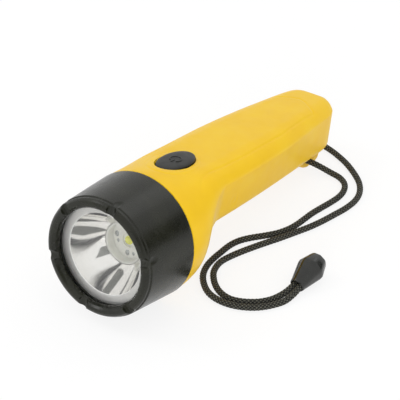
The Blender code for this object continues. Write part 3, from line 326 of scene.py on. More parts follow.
def walk(points):
    # the way walked to each point
    return np.concatenate([[0], np.cumsum(np.linalg.norm(np.diff(points, axis=0), axis=1))])


def evenRoute(route, step):
    # points at an even step along a smooth curve through the route
    knots = np.array(route, float)
    padded = np.vstack([knots[0], knots, knots[-1]])
    t, fine = np.linspace(0, 1, 40, endpoint=False)[:, None], []
    for p, a, b, q in zip(padded, padded[1:], padded[2:], padded[3:]):
        fine.append(0.5 * (2 * a + (b - p) * t + (2 * p - 5 * a + 4 * b - q) * t ** 2
                           + (3 * a - p - 3 * b + q) * t ** 3))
    fine = np.vstack(fine + [knots[-1]])
    walked = walk(fine)
    at = np.linspace(0, walked[-1], max(2, round(walked[-1] / step)) + 1)
    return np.stack([np.interp(at, walked, fine[:, k]) for k in range(3)], 1), walked[-1]


def rollTube(name, points, radius, sides=12, swell=None, lowest=-1000, dress=None):
    # a round bar along points, all in millimetres; swell gets the turn and the row, and adds to the radius
    points = np.asarray(points, float)
    ahead = np.gradient(points, axis=0)
    ahead /= np.linalg.norm(ahead, axis=1)[:, None]
    level = np.cross(ahead, (0, 0, 1.0) if abs(ahead[0][2]) < 0.7 else (1.0, 0, 0))
    level /= np.linalg.norm(level, axis=1)[:, None]
    above = np.cross(level, ahead)

    def wrap(turn, share):
        row = np.rint(share * (len(points) - 1)).astype(int)
        angle = (turn * 2 * pi)[:, None]
        reach = radius + swell(turn, row)[:, None] if swell else radius
        spots = points[row] + (level[row] * np.cos(angle) + above[row] * np.sin(angle)) * reach
        spots[:, 2] = np.maximum(spots[:, 2], lowest)
        return spots

    return rollGrid(name, sides, len(points) - 1, wrap, dress)


def braidRelief(turn, along, setup):
    # height of the crossing bundles, 0 in the gaps and 1 on top, and which way the top one runs
    a = turn * setup["bundles"] + along / setup["lozenge"]
    b = turn * setup["bundles"] - along / setup["lozenge"]
    over = (np.floor(a) + np.floor(b)) % 2 == 0
    across = np.where(over, a % 1, b % 1) * 2 - 1
    length = np.where(over, b % 1, a % 1) * 2 - 1
    height = np.sqrt(np.clip(1 - 0.92 * across ** 2, 0, 1)) * (1 - 0.55 * np.abs(length) ** 3)
    return height, over


def makeBraidedCord(name, node, points, setup):
    # a tube whose surface rises and falls with the braid; the grid's rows run along the cord
    radius = setup["diameter"] / 2
    walked = walk(points) / mm
    layers = {}

    def swell(turn, row):
        height, over = braidRelief(turn, walked[row], setup)
        layers.update(strandDepth=height, strandSide=over)
        return setup["proud"] - setup["relief"] * (1 - height)

    def dress(piece):
        for label, values in layers.items():
            writeLayer(piece, label, values)
        # the map's units are millimetres round and along
        layer = piece.data.uv_layers.active or piece.data.uv_layers.new(name="UVMap")
        layer.name = "UVMap"
        flat = np.empty(len(piece.data.loops) * 2)
        layer.data.foreach_get("uv", flat)
        layer.data.foreach_set("uv", (flat.reshape(-1, 2) * (2 * pi * radius, walked[-1])).ravel())

    piece = rollTube(name, points / mm, radius, setup["sides"], swell, setup["floorGap"], dress)
    return settle(piece, "body", braid, [node], 60, inLight=False)


def addCords(setup):
    middle = [(a + b) / 2 for a, b in zip(*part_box("lanyard_bight"))]
    routes = [[(x / metre, y / metre + seam["pos_m"][1], (*z, setup["lieZ"])[0] / metre) for x, y, *z in route]
              for route in (nearRoute, farRoute)]
    routes.append([(share * setup["slotHalf"] * mm, *middle[1:]) for share in (-1, -0.5, 0, 0.5, 1)])
    made = {}
    for route, node, label in zip(routes, ("near", "far", "bight"), ("Near", "Far", "InSlot")):
        points, length = evenRoute(route, setup["ringStep"] * mm)
        made[node] = (makeBraidedCord("wristCord" + label, "lanyard_" + node, points, setup), points, length)
    return made


cords = addCords(cordSetup)
report("wrist cord")


def flareHole(name, outline, levels, axis):
    # a cutter: the outline's (a, b) points stand at each (height, widening) along X or Z
    outline = np.asarray(outline, float)
    middle = (outline.max(axis=0) + outline.min(axis=0)) / 2
    away = outline - middle
    reach = np.linalg.norm(away, axis=1)[:, None]
    heights, wider = np.array(levels, float).T
    count, rows = len(outline), len(levels) - 1

    def wrap(turn, share):
        spot = np.rint(turn * count).astype(int) % count
        row = np.rint(share * rows).astype(int)
        a, b = (middle + away[spot] * (1 + wider[row][:, None] / reach[spot])).T
        return np.stack((heights[row], a, b) if axis == "X" else (a, b, heights[row]), 1)

    return rollGrid(name, count, rows, wrap)


def block(name, low, high, edge=0.2):
    # a box with softened edges, its corners in millimetres
    piece = addShape(name, tools.primitive_cube_add, size=1,
                     location=[(a + b) / 2 * mm for a, b in zip(low, high)])
    piece.scale = [(b - a) * mm for a, b in zip(low, high)]
    bpy.ops.object.transform_apply(location=True, rotation=False, scale=True)
    soften(piece, edge, 2, 35)
    return piece


def soften(piece, width, segments, angle):
    pick(piece)
    bevel = piece.modifiers.new("edges", "BEVEL")
    bevel.width = width * mm
    bevel.segments = segments
    bevel.limit_method = "ANGLE"
    bevel.angle_limit = radians(angle)
    bpy.ops.object.modifier_apply(modifier=bevel.name)


def post(name, radius, low, high, spot):
    # an upright round post about a spot (x, y)
    middle = [spot[0] * mm, spot[1] * mm, (low + high) / 2 * mm]
    piece = addShape(name, tools.primitive_cylinder_add, vertices=40, radius=radius * mm,
                     depth=(high - low) * mm, location=middle)
    bpy.ops.object.transform_apply(location=True, rotation=False, scale=False)
    return piece


# Moulded plastics and rubbers: a soft mottle of colour, a fine grain and a slow wave in the surface.
# Colours are deep, plain and pale; then roughness and how far it spreads, and the IOR; then the sizes
# of mottle, grain, wave and gloss patches, and the depths of grain and wave.
def makeMoulded(name, colors, roughness, spread, ior, sizes, depths):
    made, tree, shader, spot = newMaterial(name, roughness, ior=ior)
    mottle, grain, wave, gloss = (
        addNode(tree, "TexNoise", {"Scale": 1 / (size * mm), "Detail": detail}, {"Vector": spot}, "Fac")
        for size, detail in zip(sizes, (3.0, 2.0, 1.0, 4.0)))
    color = addNode(tree, "ValToRGB", {"stops": list(zip((0.32, 0.5, 0.68), colors))}, {"Fac": mottle})
    rough = addNode(tree, "MapRange", {"From Min": 0.3, "From Max": 0.7, "To Min": roughness - spread,
                                       "To Max": roughness + spread}, {"Value": gloss})
    bump = addNode(tree, "Bump", {"Strength": 1.0, "Distance": depths[1] * mm}, {"Height": wave})
    bump = addNode(tree, "Bump", {"Strength": 1.0, "Distance": depths[0] * mm},
                   {"Height": grain, "Normal": bump})
    setNode(shader, None, {"Base Color": color, "Roughness": rough, "Normal": bump})
    return made


# Bare and coated metals: a slight colour drift, fine lines or pits and uneven polish.
# Colours are deep and pale; the lines are drawn out by stretch, then their size, the drift's and their depth.
def makeMetal(name, colors, roughness, stretch, lineSize, cloudSize, depth):
    made, tree, shader, spot = newMaterial(name, roughness, metallic=1.0)
    drawn = addNode(tree, "Mapping", {"Scale": stretch}, {"Vector": spot})
    lines = addNode(tree, "TexNoise", {"Scale": 1 / (lineSize * mm), "Detail": 5.0}, {"Vector": drawn}, "Fac")
    cloud = addNode(tree, "TexNoise", {"Scale": 1 / (cloudSize * mm), "Detail": 2.0}, {"Vector": spot}, "Fac")
    color = addNode(tree, "ValToRGB", {"stops": list(zip((0.3, 0.7), colors))}, {"Fac": cloud})
    rough = addNode(tree, "MapRange", {"From Min": 0.3, "From Max": 0.7, "To Min": roughness * 0.8,
                                       "To Max": roughness * 1.2}, {"Value": lines})
    bump = addNode(tree, "Bump", {"Strength": 1.0, "Distance": depth * mm}, {"Height": lines})
    setNode(shader, None, {"Base Color": color, "Roughness": rough, "Normal": bump})
    return made


# moulded ABS with a satin texture: broad, soft highlights and an even, full yellow
yellowAbs = makeMoulded("satinYellowAbs", ("f6c60a", "f8c90c", "f9cc10"), 0.40, 0.04, 1.37,
                        (14.0, 0.22, 16.0, 5.0), (0.006, 0.05))
# the same moulded smoother, in black: long grey sheens on its rounded edges
blackAbs = makeMoulded("satinBlackAbs", ("191a12", "1d1e15", "222319"), 0.27, 0.04, 1.39,
                       (11.0, 0.20, 12.0, 4.0), (0.008, 0.04))
# moulded rubber, matt: hardly a highlight, so its shape shows by shade alone
blackRubber = makeMoulded("mattBlackRubber", ("161714", "1b1c18", "20211d"), 0.42, 0.06, 1.40,
                          (5.0, 0.16, 7.0, 2.5), (0.010, 0.02))
# moulded vinyl, glossy: small sharp glints along its flats
blackVinyl = makeMoulded("glossyBlackVinyl", ("191a17", "1e1f1c", "242522"), 0.20, 0.04, 1.5,
                         (4.0, 0.16, 5.0, 2.5), (0.006, 0.03))
# moulded nylon: a waxy off-white
whiteNylon = makeMoulded("whiteNylon", ("edede6", "f1f1ea", "f4f4ee"), 0.48, 0.05, 1.5,
                         (3.0, 0.15, 4.0, 1.5), (0.004, 0.01))
# lacquers on the circuit boards and printed foil on the cells: thin, even and slightly shiny
whiteMask = makeMoulded("whiteSolderMask", ("f0f0e9", "f5f5ee", "f8f8f3"), 0.36, 0.05, 1.5,
                        (2.0, 0.12, 3.0, 1.0), (0.003, 0.01))
greenMask = makeMoulded("greenSolderMask", ("14502e", "1a5a34", "21643b"), 0.38, 0.06, 1.5,
                        (2.5, 0.12, 3.0, 1.0), (0.004, 0.01))
cellFoil = makeMoulded("printedCellFoil", ("30343c", "383d46", "40454f"), 0.30, 0.05, 1.5,
                       (9.0, 0.30, 6.0, 3.0), (0.003, 0.02))
# aluminium vapour on a smooth bowl: a clear mirror, a little soft
mirrorCoat = makeMetal("vacuumMirrorCoat", ("f4f3f0", "f9f8f6"), 0.07, (1, 1, 1), 0.9, 9.0, 0.004)
# turned, rolled and drawn metals: fine lines that pull the highlights out
turnedAluminium = makeMetal("turnedAluminium", ("c2c4c7", "cfd1d3"), 0.34, (1, 0.1, 1), 0.10, 5.0, 0.004)
platedBrass = makeMetal("rolledBrass", ("c9ab62", "d6b96f"), 0.30, (1, 0.08, 1), 0.12, 3.0, 0.003)
platedSteel = makeMetal("platedSteelWire", ("b4b4b3", "c1c1c0"), 0.27, (1, 1, 1), 0.08, 1.5, 0.002)
# melted tin: small bright mounds with a wrinkled skin
solderTin = makeMetal("solderTin", ("a8aaab", "c0c2c3"), 0.30, (1, 1, 1), 0.3, 0.8, 0.008)


def finishMirror(made):
    # the bowl is polished and its flat rim is dull; light that the lamp board scatters meets a white wall
    tree = made.node_tree
    shader = tree.nodes["Principled BSDF"]
    polish = shader.inputs["Roughness"].links[0].from_socket
    rim = addNode(tree, "Attribute", {"attribute_name": "flatRim"}, out="Fac")
    rough = addNode(tree, "Mix", {3: 0.55}, {0: rim, 2: polish})
    scattered = addNode(tree, "LightPath", out="Is Diffuse Ray")
    coated = addNode(tree, "Math", {"operation": "SUBTRACT", 0: 1.0}, {1: scattered})
    setNode(shader, None, {"Roughness": rough, "Metallic": coated})


# Clear polycarbonate: polished, very slightly grey, with faint hair scratches; it lets light through
# to the lamp
def makeClearPlastic():
    made, tree, shader, spot = newMaterial("clearPolycarbonate", 0.03, ior=1.58)
    rubbed = addNode(tree, "TexNoise", {"Scale": 1 / (6.0 * mm), "Detail": 4.0}, {"Vector": spot}, "Fac")
    rough = addNode(tree, "MapRange", {"To Min": 0.015, "To Max": 0.06}, {"Value": rubbed})
    setNode(shader, {"Base Color": hexColor("f8f8f7"), "Transmission Weight": 1.0}, {"Roughness": rough})
    clear = addNode(tree, "BsdfTransparent", {"Color": hexColor("fbfbfa")})
    shadow = addNode(tree, "LightPath", out="Is Shadow Ray")
    mixed = addNode(tree, "MixShader", None, {0: shadow, 1: shader.outputs[0], 2: clear})
    setNode(tree.nodes["Material Output"], None, {"Surface": mixed})
    return made


# Phosphor under a clear silicone dome: a speckled bright yellow with a wet shine
def makePhosphor():
    made, tree, shader, spot = newMaterial("yellowPhosphorDome", 0.16, ior=1.41)
    specks = addNode(tree, "TexVoronoi", {"Scale": 1 / (0.12 * mm)}, {"Vector": spot}, "Distance")
    stops = [(0.0, "f2f03c"), (0.6, "f8f850"), (1.0, "fbfb6c")]
    color = addNode(tree, "ValToRGB", {"stops": stops}, {"Fac": specks})
    bump = addNode(tree, "Bump", {"Strength": 1.0, "Distance": 0.004 * mm}, {"Height": specks})
    setNode(shader, {"Coat Weight": 0.5}, {"Base Color": color, "Normal": bump})
    return made


finishMirror(mirrorCoat)
clearPlastic = makeClearPlastic()
phosphorDome = makePhosphor()
report("materials")


# Moulded end that both strands run into: an eight-sided cone, then a long chamfer to a blunt end
cordEndSetup = {"length": 20.0, "small": 4.0, "big": 7.0, "tip": 4.7, "chamfer": 6.8, "bore": 3.3,
                "boreDepth": 3.0, "lip": 0.3, "lipDepth": 0.35, "place": (62.2, 38.6), "sides": 8, "edge": 1.2,
                "bellShares": ((0.08, 0.05), (0.58, 0.96), (0.64, 1.0))}


def makeCordEnd(setup):
    length, small, big = setup["length"], setup["small"], setup["big"]
    halfStep = pi / setup["sides"]
    flatShare = cos(halfStep)
    lean = atan((big - small) * flatShare / (length * setup["bellShares"][-1][0]))
    bell = [(small + (big - small) * widen, length * at) for at, widen in setup["bellShares"]]
    lift = max(radius * flatShare * cos(lean) - along * sin(lean) for radius, along in bell)
    profile = [(0, length), (setup["tip"], length), (big, length - setup["chamfer"])]
    profile += list(reversed(bell)) + [(small, 0), (0, 0)]
    piece = turnProfile("wristCordEnd", profile, setup["sides"])
    soften(piece, setup["edge"], 5, 25)
    bore, depth, mouth = setup["bore"], setup["boreDepth"], setup["bore"] + setup["lip"]
    cutter = [(0, -1), (mouth, -1), (mouth, 0), (bore, setup["lipDepth"]), (bore, depth), (0, depth)]
    applyBoolean(piece, "DIFFERENCE", turnProfile("boreCutter", cutter, 48))
    x, y = setup["place"]
    piece.data.transform(Matrix.Translation((x * mm, y * mm + seam["pos_m"][1], lift * mm))
                         @ Matrix.Rotation(lean, 4, "X") @ Matrix.Rotation(halfStep, 4, "Y"))
    return settle(piece, "body", blackVinyl, ["cord_end"], 30, inLight=False)


cordEnd = makeCordEnd(cordEndSetup)
report("cord end")


# Yellow shell. The shares are of the collar's reach and of the handle's length, then of the way
# from circle to handle (width, top, bottom, rounding), or of the handle's own sizes (half width
# at the shoulders, half width below them, top, bottom, top rounding, the other roundings).
shellSetup = {"collar": 30.8, "frontY": 0.4, "reach": 36.0, "length": 150.3, "halfWidth": 22.3,
              "lowWidth": 20.0, "top": 27.8, "bottom": 1.6, "topRound": 12.6, "shoulderRound": 3.0,
              "bottomRound": 5.0, "shoulderTurn": radians(30), "crown": 0.25, "crownFrom": 24, "crownFull": 44,
              "crownReach": 14, "topZ": 15, "middleZ": 12, "wall": 2.0, "cavityFront": 3.0, "cavityTail": 147.7,
              "frontEdge": 0.4, "tailEdge": 1.3, "columns": 192, "rowStep": 0.6}
collarShares = (
    (0.17, 0.03, 0.08, 0.035, 0.04), (0.33, 0.12, 0.30, 0.13, 0.16), (0.50, 0.34, 0.58, 0.36, 0.40),
    (0.66, 0.63, 0.80, 0.65, 0.68), (0.82, 0.87, 0.93, 0.88, 0.89), (1.0, 1.0, 1.0, 1.0, 1.0))
handleShares = (
    (0.12, 1.0, 0.993, 1.0, 1.0, 1.0, 1.0), (0.26, 0.996, 0.975, 1.0, 1.0, 0.99, 1.0),
    (0.41, 0.971, 0.947, 0.993, 0.95, 0.96, 1.0), (0.54, 0.925, 0.913, 0.984, 0.90, 0.91, 1.0),
    (0.66, 0.863, 0.880, 0.973, 0.80, 0.84, 1.0), (0.76, 0.806, 0.850, 0.962, 0.70, 0.79, 0.98),
    (0.845, 0.763, 0.818, 0.951, 0.60, 0.76, 0.92), (0.91, 0.720, 0.775, 0.941, 0.45, 0.74, 0.82),
    (0.955, 0.652, 0.700, 0.934, 0.10, 0.68, 0.68), (0.985, 0.532, 0.570, 0.910, -0.60, 0.60, 0.60),
    (1.0, 0.385, 0.410, 0.860, -1.40, 0.50, 0.52))
# panel line along the handle's top edges: (distance from the top's middle, y)
panelLine = ((22.0, 16.6), (19.6, 19.4), (17.8, 22.2), (16.5, 24.8), (15.9, 28.5), (16.0, 33.5), (16.6, 39.5),
             (17.1, 51.0), (17.3, 62.0), (17.1, 76.5), (16.7, 92.5), (15.6, 103.0), (14.6, 112.5),
             (14.1, 121.0), (13.9, 126.2), (12.9, 127.6), (11.0, 128.6), (9.0, 129.8), (4.1, 133.6),
             (0.0, 135.3))
detailSetup = {"lineDepth": 0.28, "lineHalf": 0.52, "lineFrom": 16.5, "lineFull": 25, "padRise": 0.26,
               "padEdge": 0.5, "padLine": 0.15, "padLineHalf": 0.4, "padHalfWidth": 11.0, "padHalfLength": 15.2,
               "padY": 22.8, "markY": 46.8, "markZ": 7.8, "markRadius": 2.2, "markHalf": 0.35,
               "markDepth": 0.26, "markSideX": 10}


def shellTable(setup):
    # rows of (y, half width, low width, top, bottom, top rounding, shoulder rounding, bottom rounding)
    sizes = np.array([setup[name] for name in ("halfWidth", "lowWidth", "top", "bottom", "topRound",
                                               "shoulderRound", "bottomRound")])
    signs = np.array((1, 1, 1, -1, 1, 1, 1))
    r, reach = setup["collar"], setup["reach"]
    rows = [(setup["frontY"], *signs * r)]
    for at, width, top, bottom, rounding in collarShares:
        shares = np.array((width, width, top, bottom, rounding, rounding, rounding))
        rows.append((reach * at, *signs * (r + (sizes - r) * shares)))
    for at, *shares, rounding in handleShares:
        rows.append((reach + (setup["length"] - reach) * at, *signs * sizes * (*shares, rounding, rounding)))
    return np.array(rows, float)


shellRows = shellTable(shellSetup)


def shellSection(share, y, inset):
    # point of the section at y, a share of the way from the bottom's middle to the top's, and
    # its distance from the top's middle
    width, low, top, bottom, arch, shoulder, foot = [steadyCurve(y, shellRows[:, 0], column)
                                                     for column in shellRows[:, 1:].T]
    width, low, top, bottom = width - inset, low - inset, top - inset, bottom + inset
    arch, shoulder, foot = [np.maximum(value - inset, 0.5) for value in (arch, shoulder, foot)]
    turn, quarter = shellSetup["shoulderTurn"], pi / 2
    archX, archZ = width - shoulder - (arch - shoulder) * cos(turn), top - arch
    shoulderX, shoulderZ = width - shoulder, archZ + (arch - shoulder) * sin(turn)
    footX, footZ = np.maximum(low - foot, 0), bottom + foot
    # the side is the straight line that touches both round corners
    apart = np.maximum(np.hypot(shoulderX - footX, shoulderZ - footZ), 1e-4)
    slant = np.clip((foot - shoulder) / apart, -1, 1)
    lean = np.arctan2(shoulderZ - footZ, shoulderX - footX) - np.arccos(slant)
    lean = np.where(apart < 0.01, -0.1, np.clip(lean, -1.2, turn))
    lengths = [np.maximum(length, 0) for length in (
        footX, foot * (quarter + lean), apart * np.sqrt(1 - slant ** 2), shoulder * (turn - lean),
        arch * (quarter - turn), archX)]
    # lines and arcs in turn: (round x, round z, radius, angle, whether it bends)
    parts = ((0, footZ, foot, -quarter, 0), (footX, footZ, foot, -quarter, 1), (footX, footZ, foot, lean, 0),
             (shoulderX, shoulderZ, shoulder, lean, 1), (archX, archZ, arch, turn, 1),
             (archX, archZ, arch, quarter, 0))
    whole = sum(lengths)
    left = share * whole
    x, z, done = 0 * left, 0 * left, np.zeros(left.shape, bool)
    for (x0, z0, radius, angle, bends), length in zip(parts, lengths):
        here = ~done & ((left <= length) | (length is lengths[-1]))
        along = np.clip(left, 0, length)
        angle = angle + bends * along / radius
        along = (1 - bends) * along
        x = np.where(here, x0 + radius * np.cos(angle) - along * np.sin(angle), x)
        z = np.where(here, z0 + radius * np.sin(angle) + along * np.cos(angle), z)
        done |= here
        left = np.where(done, left, left - length)
    return x, z, (1 - share) * whole


def shellSkin(turn, y, inset, fine=True):
    # a point of the skin, turn going from the bottom's middle up the +X side and round
    setup, near = shellSetup, 1 - np.abs(2 * turn - 1)
    share = np.interp(near, (0, 0.31, 1), (0, 0.575, 1)) if fine else near
    x, z, fromTop = shellSection(share, y, inset)
    side = np.where(turn <= 0.5, 1.0, -1.0)
    rounded = np.clip(fromTop / setup["crownReach"], 0, 1) ** 2 * (z > setup["topZ"])
    crown = setup["crown"] * easeIn(y, setup["crownFrom"], setup["crownFull"]) * rounded
    return np.stack([x * side, y, z - crown], 1), fromTop * side


def distanceToLine(s, y, line):
    best = np.full(s.shape, 1e9)
    for (s1, y1), (s2, y2) in zip(line, line[1:]):
        ds, dy = s2 - s1, y2 - y1
        t = np.clip(((s - s1) * ds + (y - y1) * dy) / (ds * ds + dy * dy), 0, 1)
        best = np.minimum(best, np.hypot(s - s1 - ds * t, y - y1 - dy * t))
    return best


def shellDetail(spot, fromTop, y, detail):
    # how far the surface stands out: the panel line, the pad round the button, the side's round mark
    s, onTop = np.abs(fromTop), spot[:, 2] > shellSetup["topZ"]
    away = distanceToLine(s, y, panelLine) / detail["lineHalf"]
    groove = detail["lineDepth"] * np.exp(-away ** 2) * easeIn(y, detail["lineFrom"], detail["lineFull"])
    oval = np.hypot(s / detail["padHalfWidth"], (y - detail["padY"]) / detail["padHalfLength"])
    edge = (1 - oval) * detail["padHalfWidth"]
    pad = detail["padRise"] * easeIn(edge / detail["padEdge"], -0.5, 0.5) * onTop
    groove += detail["padLine"] * np.exp(-(edge / detail["padLineHalf"]) ** 2) * onTop
    ringAway = np.hypot(y - detail["markY"], spot[:, 2] - detail["markZ"]) - detail["markRadius"]
    onSide = spot[:, 0] > detail["markSideX"]
    return pad - groove - detail["markDepth"] * np.exp(-(ringAway / detail["markHalf"]) ** 2) * onSide


def makeShellSkin(name, inset, firstY, lastY, columns, step, edges=(0, 0), detail=None):
    front, tail = edges
    ys = [firstY + front * (1 - cos(k * pi / 12)) for k in range(6)]
    ys += list(np.linspace(firstY + front, lastY - tail, round((lastY - tail - firstY - front) / step) + 1))
    ys += [lastY - tail + tail * sin(k * pi / 16) for k in range(1, 9)] if tail else []
    ys = np.unique(np.round(ys, 5))

    def wrap(turn, share):
        y = ys[np.rint(share * (len(ys) - 1)).astype(int)]
        pulled = inset + 0 * y
        for size, depth in ((front, y - firstY), (tail, lastY - y)):
            if size:
                pulled = pulled + size * (1 - np.sqrt(1 - np.clip(1 - depth / size, 0, 1) ** 2))
        spot, fromTop = shellSkin(turn, y, pulled, detail is not None)
        if detail is None:
            return spot
        small = 1e-4
        inner = np.clip(turn, small, 1 - small)
        across = shellSkin(inner + small, y, pulled)[0] - shellSkin(inner - small, y, pulled)[0]
        ahead = shellSkin(turn, y + 0.02, pulled)[0] - shellSkin(turn, y - 0.02, pulled)[0]
        out = np.cross(ahead, across)
        out /= np.maximum(np.linalg.norm(out, axis=1), 1e-12)[:, None]
        middle = np.stack([0 * y, y, 0 * y + shellSetup["middleZ"]], 1)
        out *= np.where(np.sum(out * (spot - middle), axis=1) < 0, -1, 1)[:, None]
        return spot + out * shellDetail(spot, fromTop, y, detail)[:, None]

    return rollGrid(name, columns, len(ys) - 1, wrap)


neckSetup = {"radius": 26.2, "bore": 23.8, "front": -12.0, "root": 2.6, "lead": 0.6, "pitch": 4.0, "turns": 1.6,
             "beadFrom": -10.4, "beadHeight": 1.4, "beadHalf": 1.15, "columns": 216, "rows": 92}


def beadHeight(angle, y, start, setup):
    # height of the helical bead at a place round and along the wall
    height = 0 * y
    last = 2 * pi * setup["turns"]
    for k in (0, 1):
        a = angle % (2 * pi) + 2 * pi * k
        away = np.abs(y - start - setup["pitch"] * a / (2 * pi)) / setup["beadHalf"]
        bead = setup["beadHeight"] * np.clip(1 - away ** 2, 0, 1) ** 0.6
        height = np.maximum(height, bead * easeIn(a, 0, 0.3) * easeIn(last - a, 0, 0.3))
    return height


def makeNeck(setup):
    def wrap(turn, share):
        y = setup["front"] + (setup["root"] - setup["front"]) * share
        angle = turn * 2 * pi
        inLead = np.clip(1 - (y - setup["front"]) / setup["lead"], 0, 1)
        reach = setup["radius"] - setup["lead"] * (1 - np.sqrt(1 - inLead ** 2))
        reach += beadHeight(angle, y, setup["beadFrom"], setup)
        return np.stack([reach * np.cos(angle), y, -reach * np.sin(angle)], 1)

    return rollGrid("neckBlank", setup["columns"], setup["rows"], wrap)


lugSetup = {"halfWidth": 8.0, "edge": 1.1, "foot": 141.5, "footHalf": 4.0, "front": 119.0, "corner": 129.0,
            "rise": 4.5, "tail": 148.8, "tailRound": 3.2, "rootZ": 4.6, "slotFront": 132.8, "slotTail": 144.8,
            "slotFloor": 4.2, "slotRoof": -1.2, "slotCorner": 1.4, "flare": 0.9}


def floorZ(y):
    return -31.0 + (y + 0.6) * tan(lightTilt)


def makeLug(setup):
    foot, half, tail = setup["foot"], setup["footHalf"], setup["tail"]
    middle = setup["corner"] + (foot - half - setup["corner"]) * 0.6
    corners = [(setup["front"], setup["rootZ"], 0),
               (setup["corner"], floorZ(setup["corner"]) + setup["rise"], 4.0),
               (middle, floorZ(middle) + setup["rise"] * 0.3, 4.0), (foot - half, floorZ(foot - half), 2.0),
               (foot + half, floorZ(foot + half), 1.6),
               (foot + half + 0.7 * (tail - foot - half), floorZ(foot + half) + setup["tailRound"] * 0.35, 2.0),
               (tail, floorZ(tail) + setup["tailRound"], 1.6), (tail, setup["rootZ"], 0)]
    outline = np.array(roundCorners(corners, steps=6))
    piece = addShape("lugBlank", tools.primitive_circle_add, vertices=len(outline), radius=1, fill_type="NGON")
    side = np.full(len(outline), -setup["halfWidth"])
    writePoints(piece, np.stack([side, outline[:, 0], outline[:, 1]], 1) * mm)
    across = {"value": (2 * setup["halfWidth"] * mm, 0, 0)}
    workMesh(piece, (tools.extrude_region_move, {"TRANSFORM_OT_translate": across}), faceOut)
    soften(piece, setup["edge"], 4, 50)
    return piece


def makeSlotCutter(setup):
    front, tail, roof, corner = (setup[name] for name in ("slotFront", "slotTail", "slotRoof", "slotCorner"))
    low, half, flare = setup["slotFloor"], setup["halfWidth"], setup["flare"]
    corners = [(front, floorZ(front) + low, corner), (tail, floorZ(tail) + low, corner), (tail, roof, corner),
               (front, roof, corner)]
    outline = splitLong(roundCorners(corners, steps=6), 1.2)
    levels = [(half - flare * (1 - sin(turn)), flare * (1 - cos(turn))) for turn in np.arange(6) * pi / 10]
    levels.append((half + 2.2, flare))
    return flareHole("slotCutter", outline, [(-x, wider) for x, wider in reversed(levels)] + levels, "X")


buttonSetup = {"y": 24.8, "halfWidth": 7.3, "halfLength": 12.5, "skirt": 25.2, "shoulder": 28.8, "top": 30.0,
               "flange": 1.2, "flangeWidth": 1.0, "edge": 0.15, "foot": 0.2, "wall": 1.4, "gap": 0.4,
               "symbolRadius": 2.8, "symbolLine": 0.34, "symbolGap": 35, "symbolSunk": 0.05,
               "barFrom": 0.35, "ringStep": 0.56, "retainerTop": 22.4, "screwX": 11.6}
# inside the shell: rails and a stop for the battery carrier, bosses for the switch's screws
innerSetup = {"railX": 9, "railHalf": 1, "rail": (40.0, 131.2), "low": -0.8, "railTop": 1.6,
              "stop": (133.5, 135.1), "stopHalf": 8.5, "stopTop": 10.0, "boss": 3.0, "bossSunk": 1.5,
              "bossGap": 0.3, "bossBore": 1.5, "bore": (-1.0, 3.9)}


def oval(halfWidth, halfLength, y, count=96):
    turns = np.linspace(0, 2 * pi, count, endpoint=False)
    return np.stack([halfWidth * np.cos(turns), y + halfLength * np.sin(turns)], 1)


def makeShell(setup, button, inner):
    shell = makeShellSkin("shellMoulding", 0, setup["frontY"], setup["length"], setup["columns"],
                          setup["rowStep"], (setup["frontEdge"], setup["tailEdge"]), detailSetup)
    cavity = makeShellSkin("cavity", setup["wall"], setup["cavityFront"], setup["cavityTail"], 96, 2.0)
    bore = flareHole("neckBore", oval(neckSetup["bore"], neckSetup["bore"], 0, 160),
                     [(-14, 0), (0, 0), (5, 0)], "Z")
    bore.data.transform(Matrix.Rotation(radians(-90), 4, "X"))
    hole = oval(button["halfWidth"] + button["gap"], button["halfLength"] + button["gap"], button["y"])
    plain = steadyCurve(button["y"], shellRows[:, 0], shellRows[:, 3])
    rim, base = plain + detailSetup["padRise"], button["retainerTop"]
    levels = [(base, 0), (rim - 0.5, 0), (rim - 0.25, 0.06), (rim - 0.08, 0.2), (rim + 0.1, 0.4),
              (rim + 3, 0.4)]
    applyBoolean(shell, "UNION", makeNeck(neckSetup), makeLug(lugSetup))
    applyBoolean(shell, "DIFFERENCE", cavity, bore, makeSlotCutter(lugSetup),
                 flareHole("buttonHole", hole, levels, "Z"))
    low, (front, tail) = inner["low"], inner["rail"]
    for side in (1, -1):
        x, half, spot = side * inner["railX"], inner["railHalf"], (side * button["screwX"], button["y"])
        rail = block("rail", (x - half, front, low), (x + half, tail, inner["railTop"]))
        boss = post("boss", inner["boss"], base + inner["bossGap"], plain - inner["bossSunk"], spot)
        applyBoolean(shell, "UNION", rail, boss)
        boreLow, boreHigh = (base + step for step in inner["bore"])
        applyBoolean(shell, "DIFFERENCE", post("bossBore", inner["bossBore"], boreLow, boreHigh, spot))
    (front, tail), half = inner["stop"], inner["stopHalf"]
    applyBoolean(shell, "UNION", block("tailStop", (-half, front, low), (half, tail, inner["stopTop"])))
    return settle(shell, "body", yellowAbs, ["body_shell"], 32)


makeShell(shellSetup, buttonSetup, innerSetup)
report("shell")


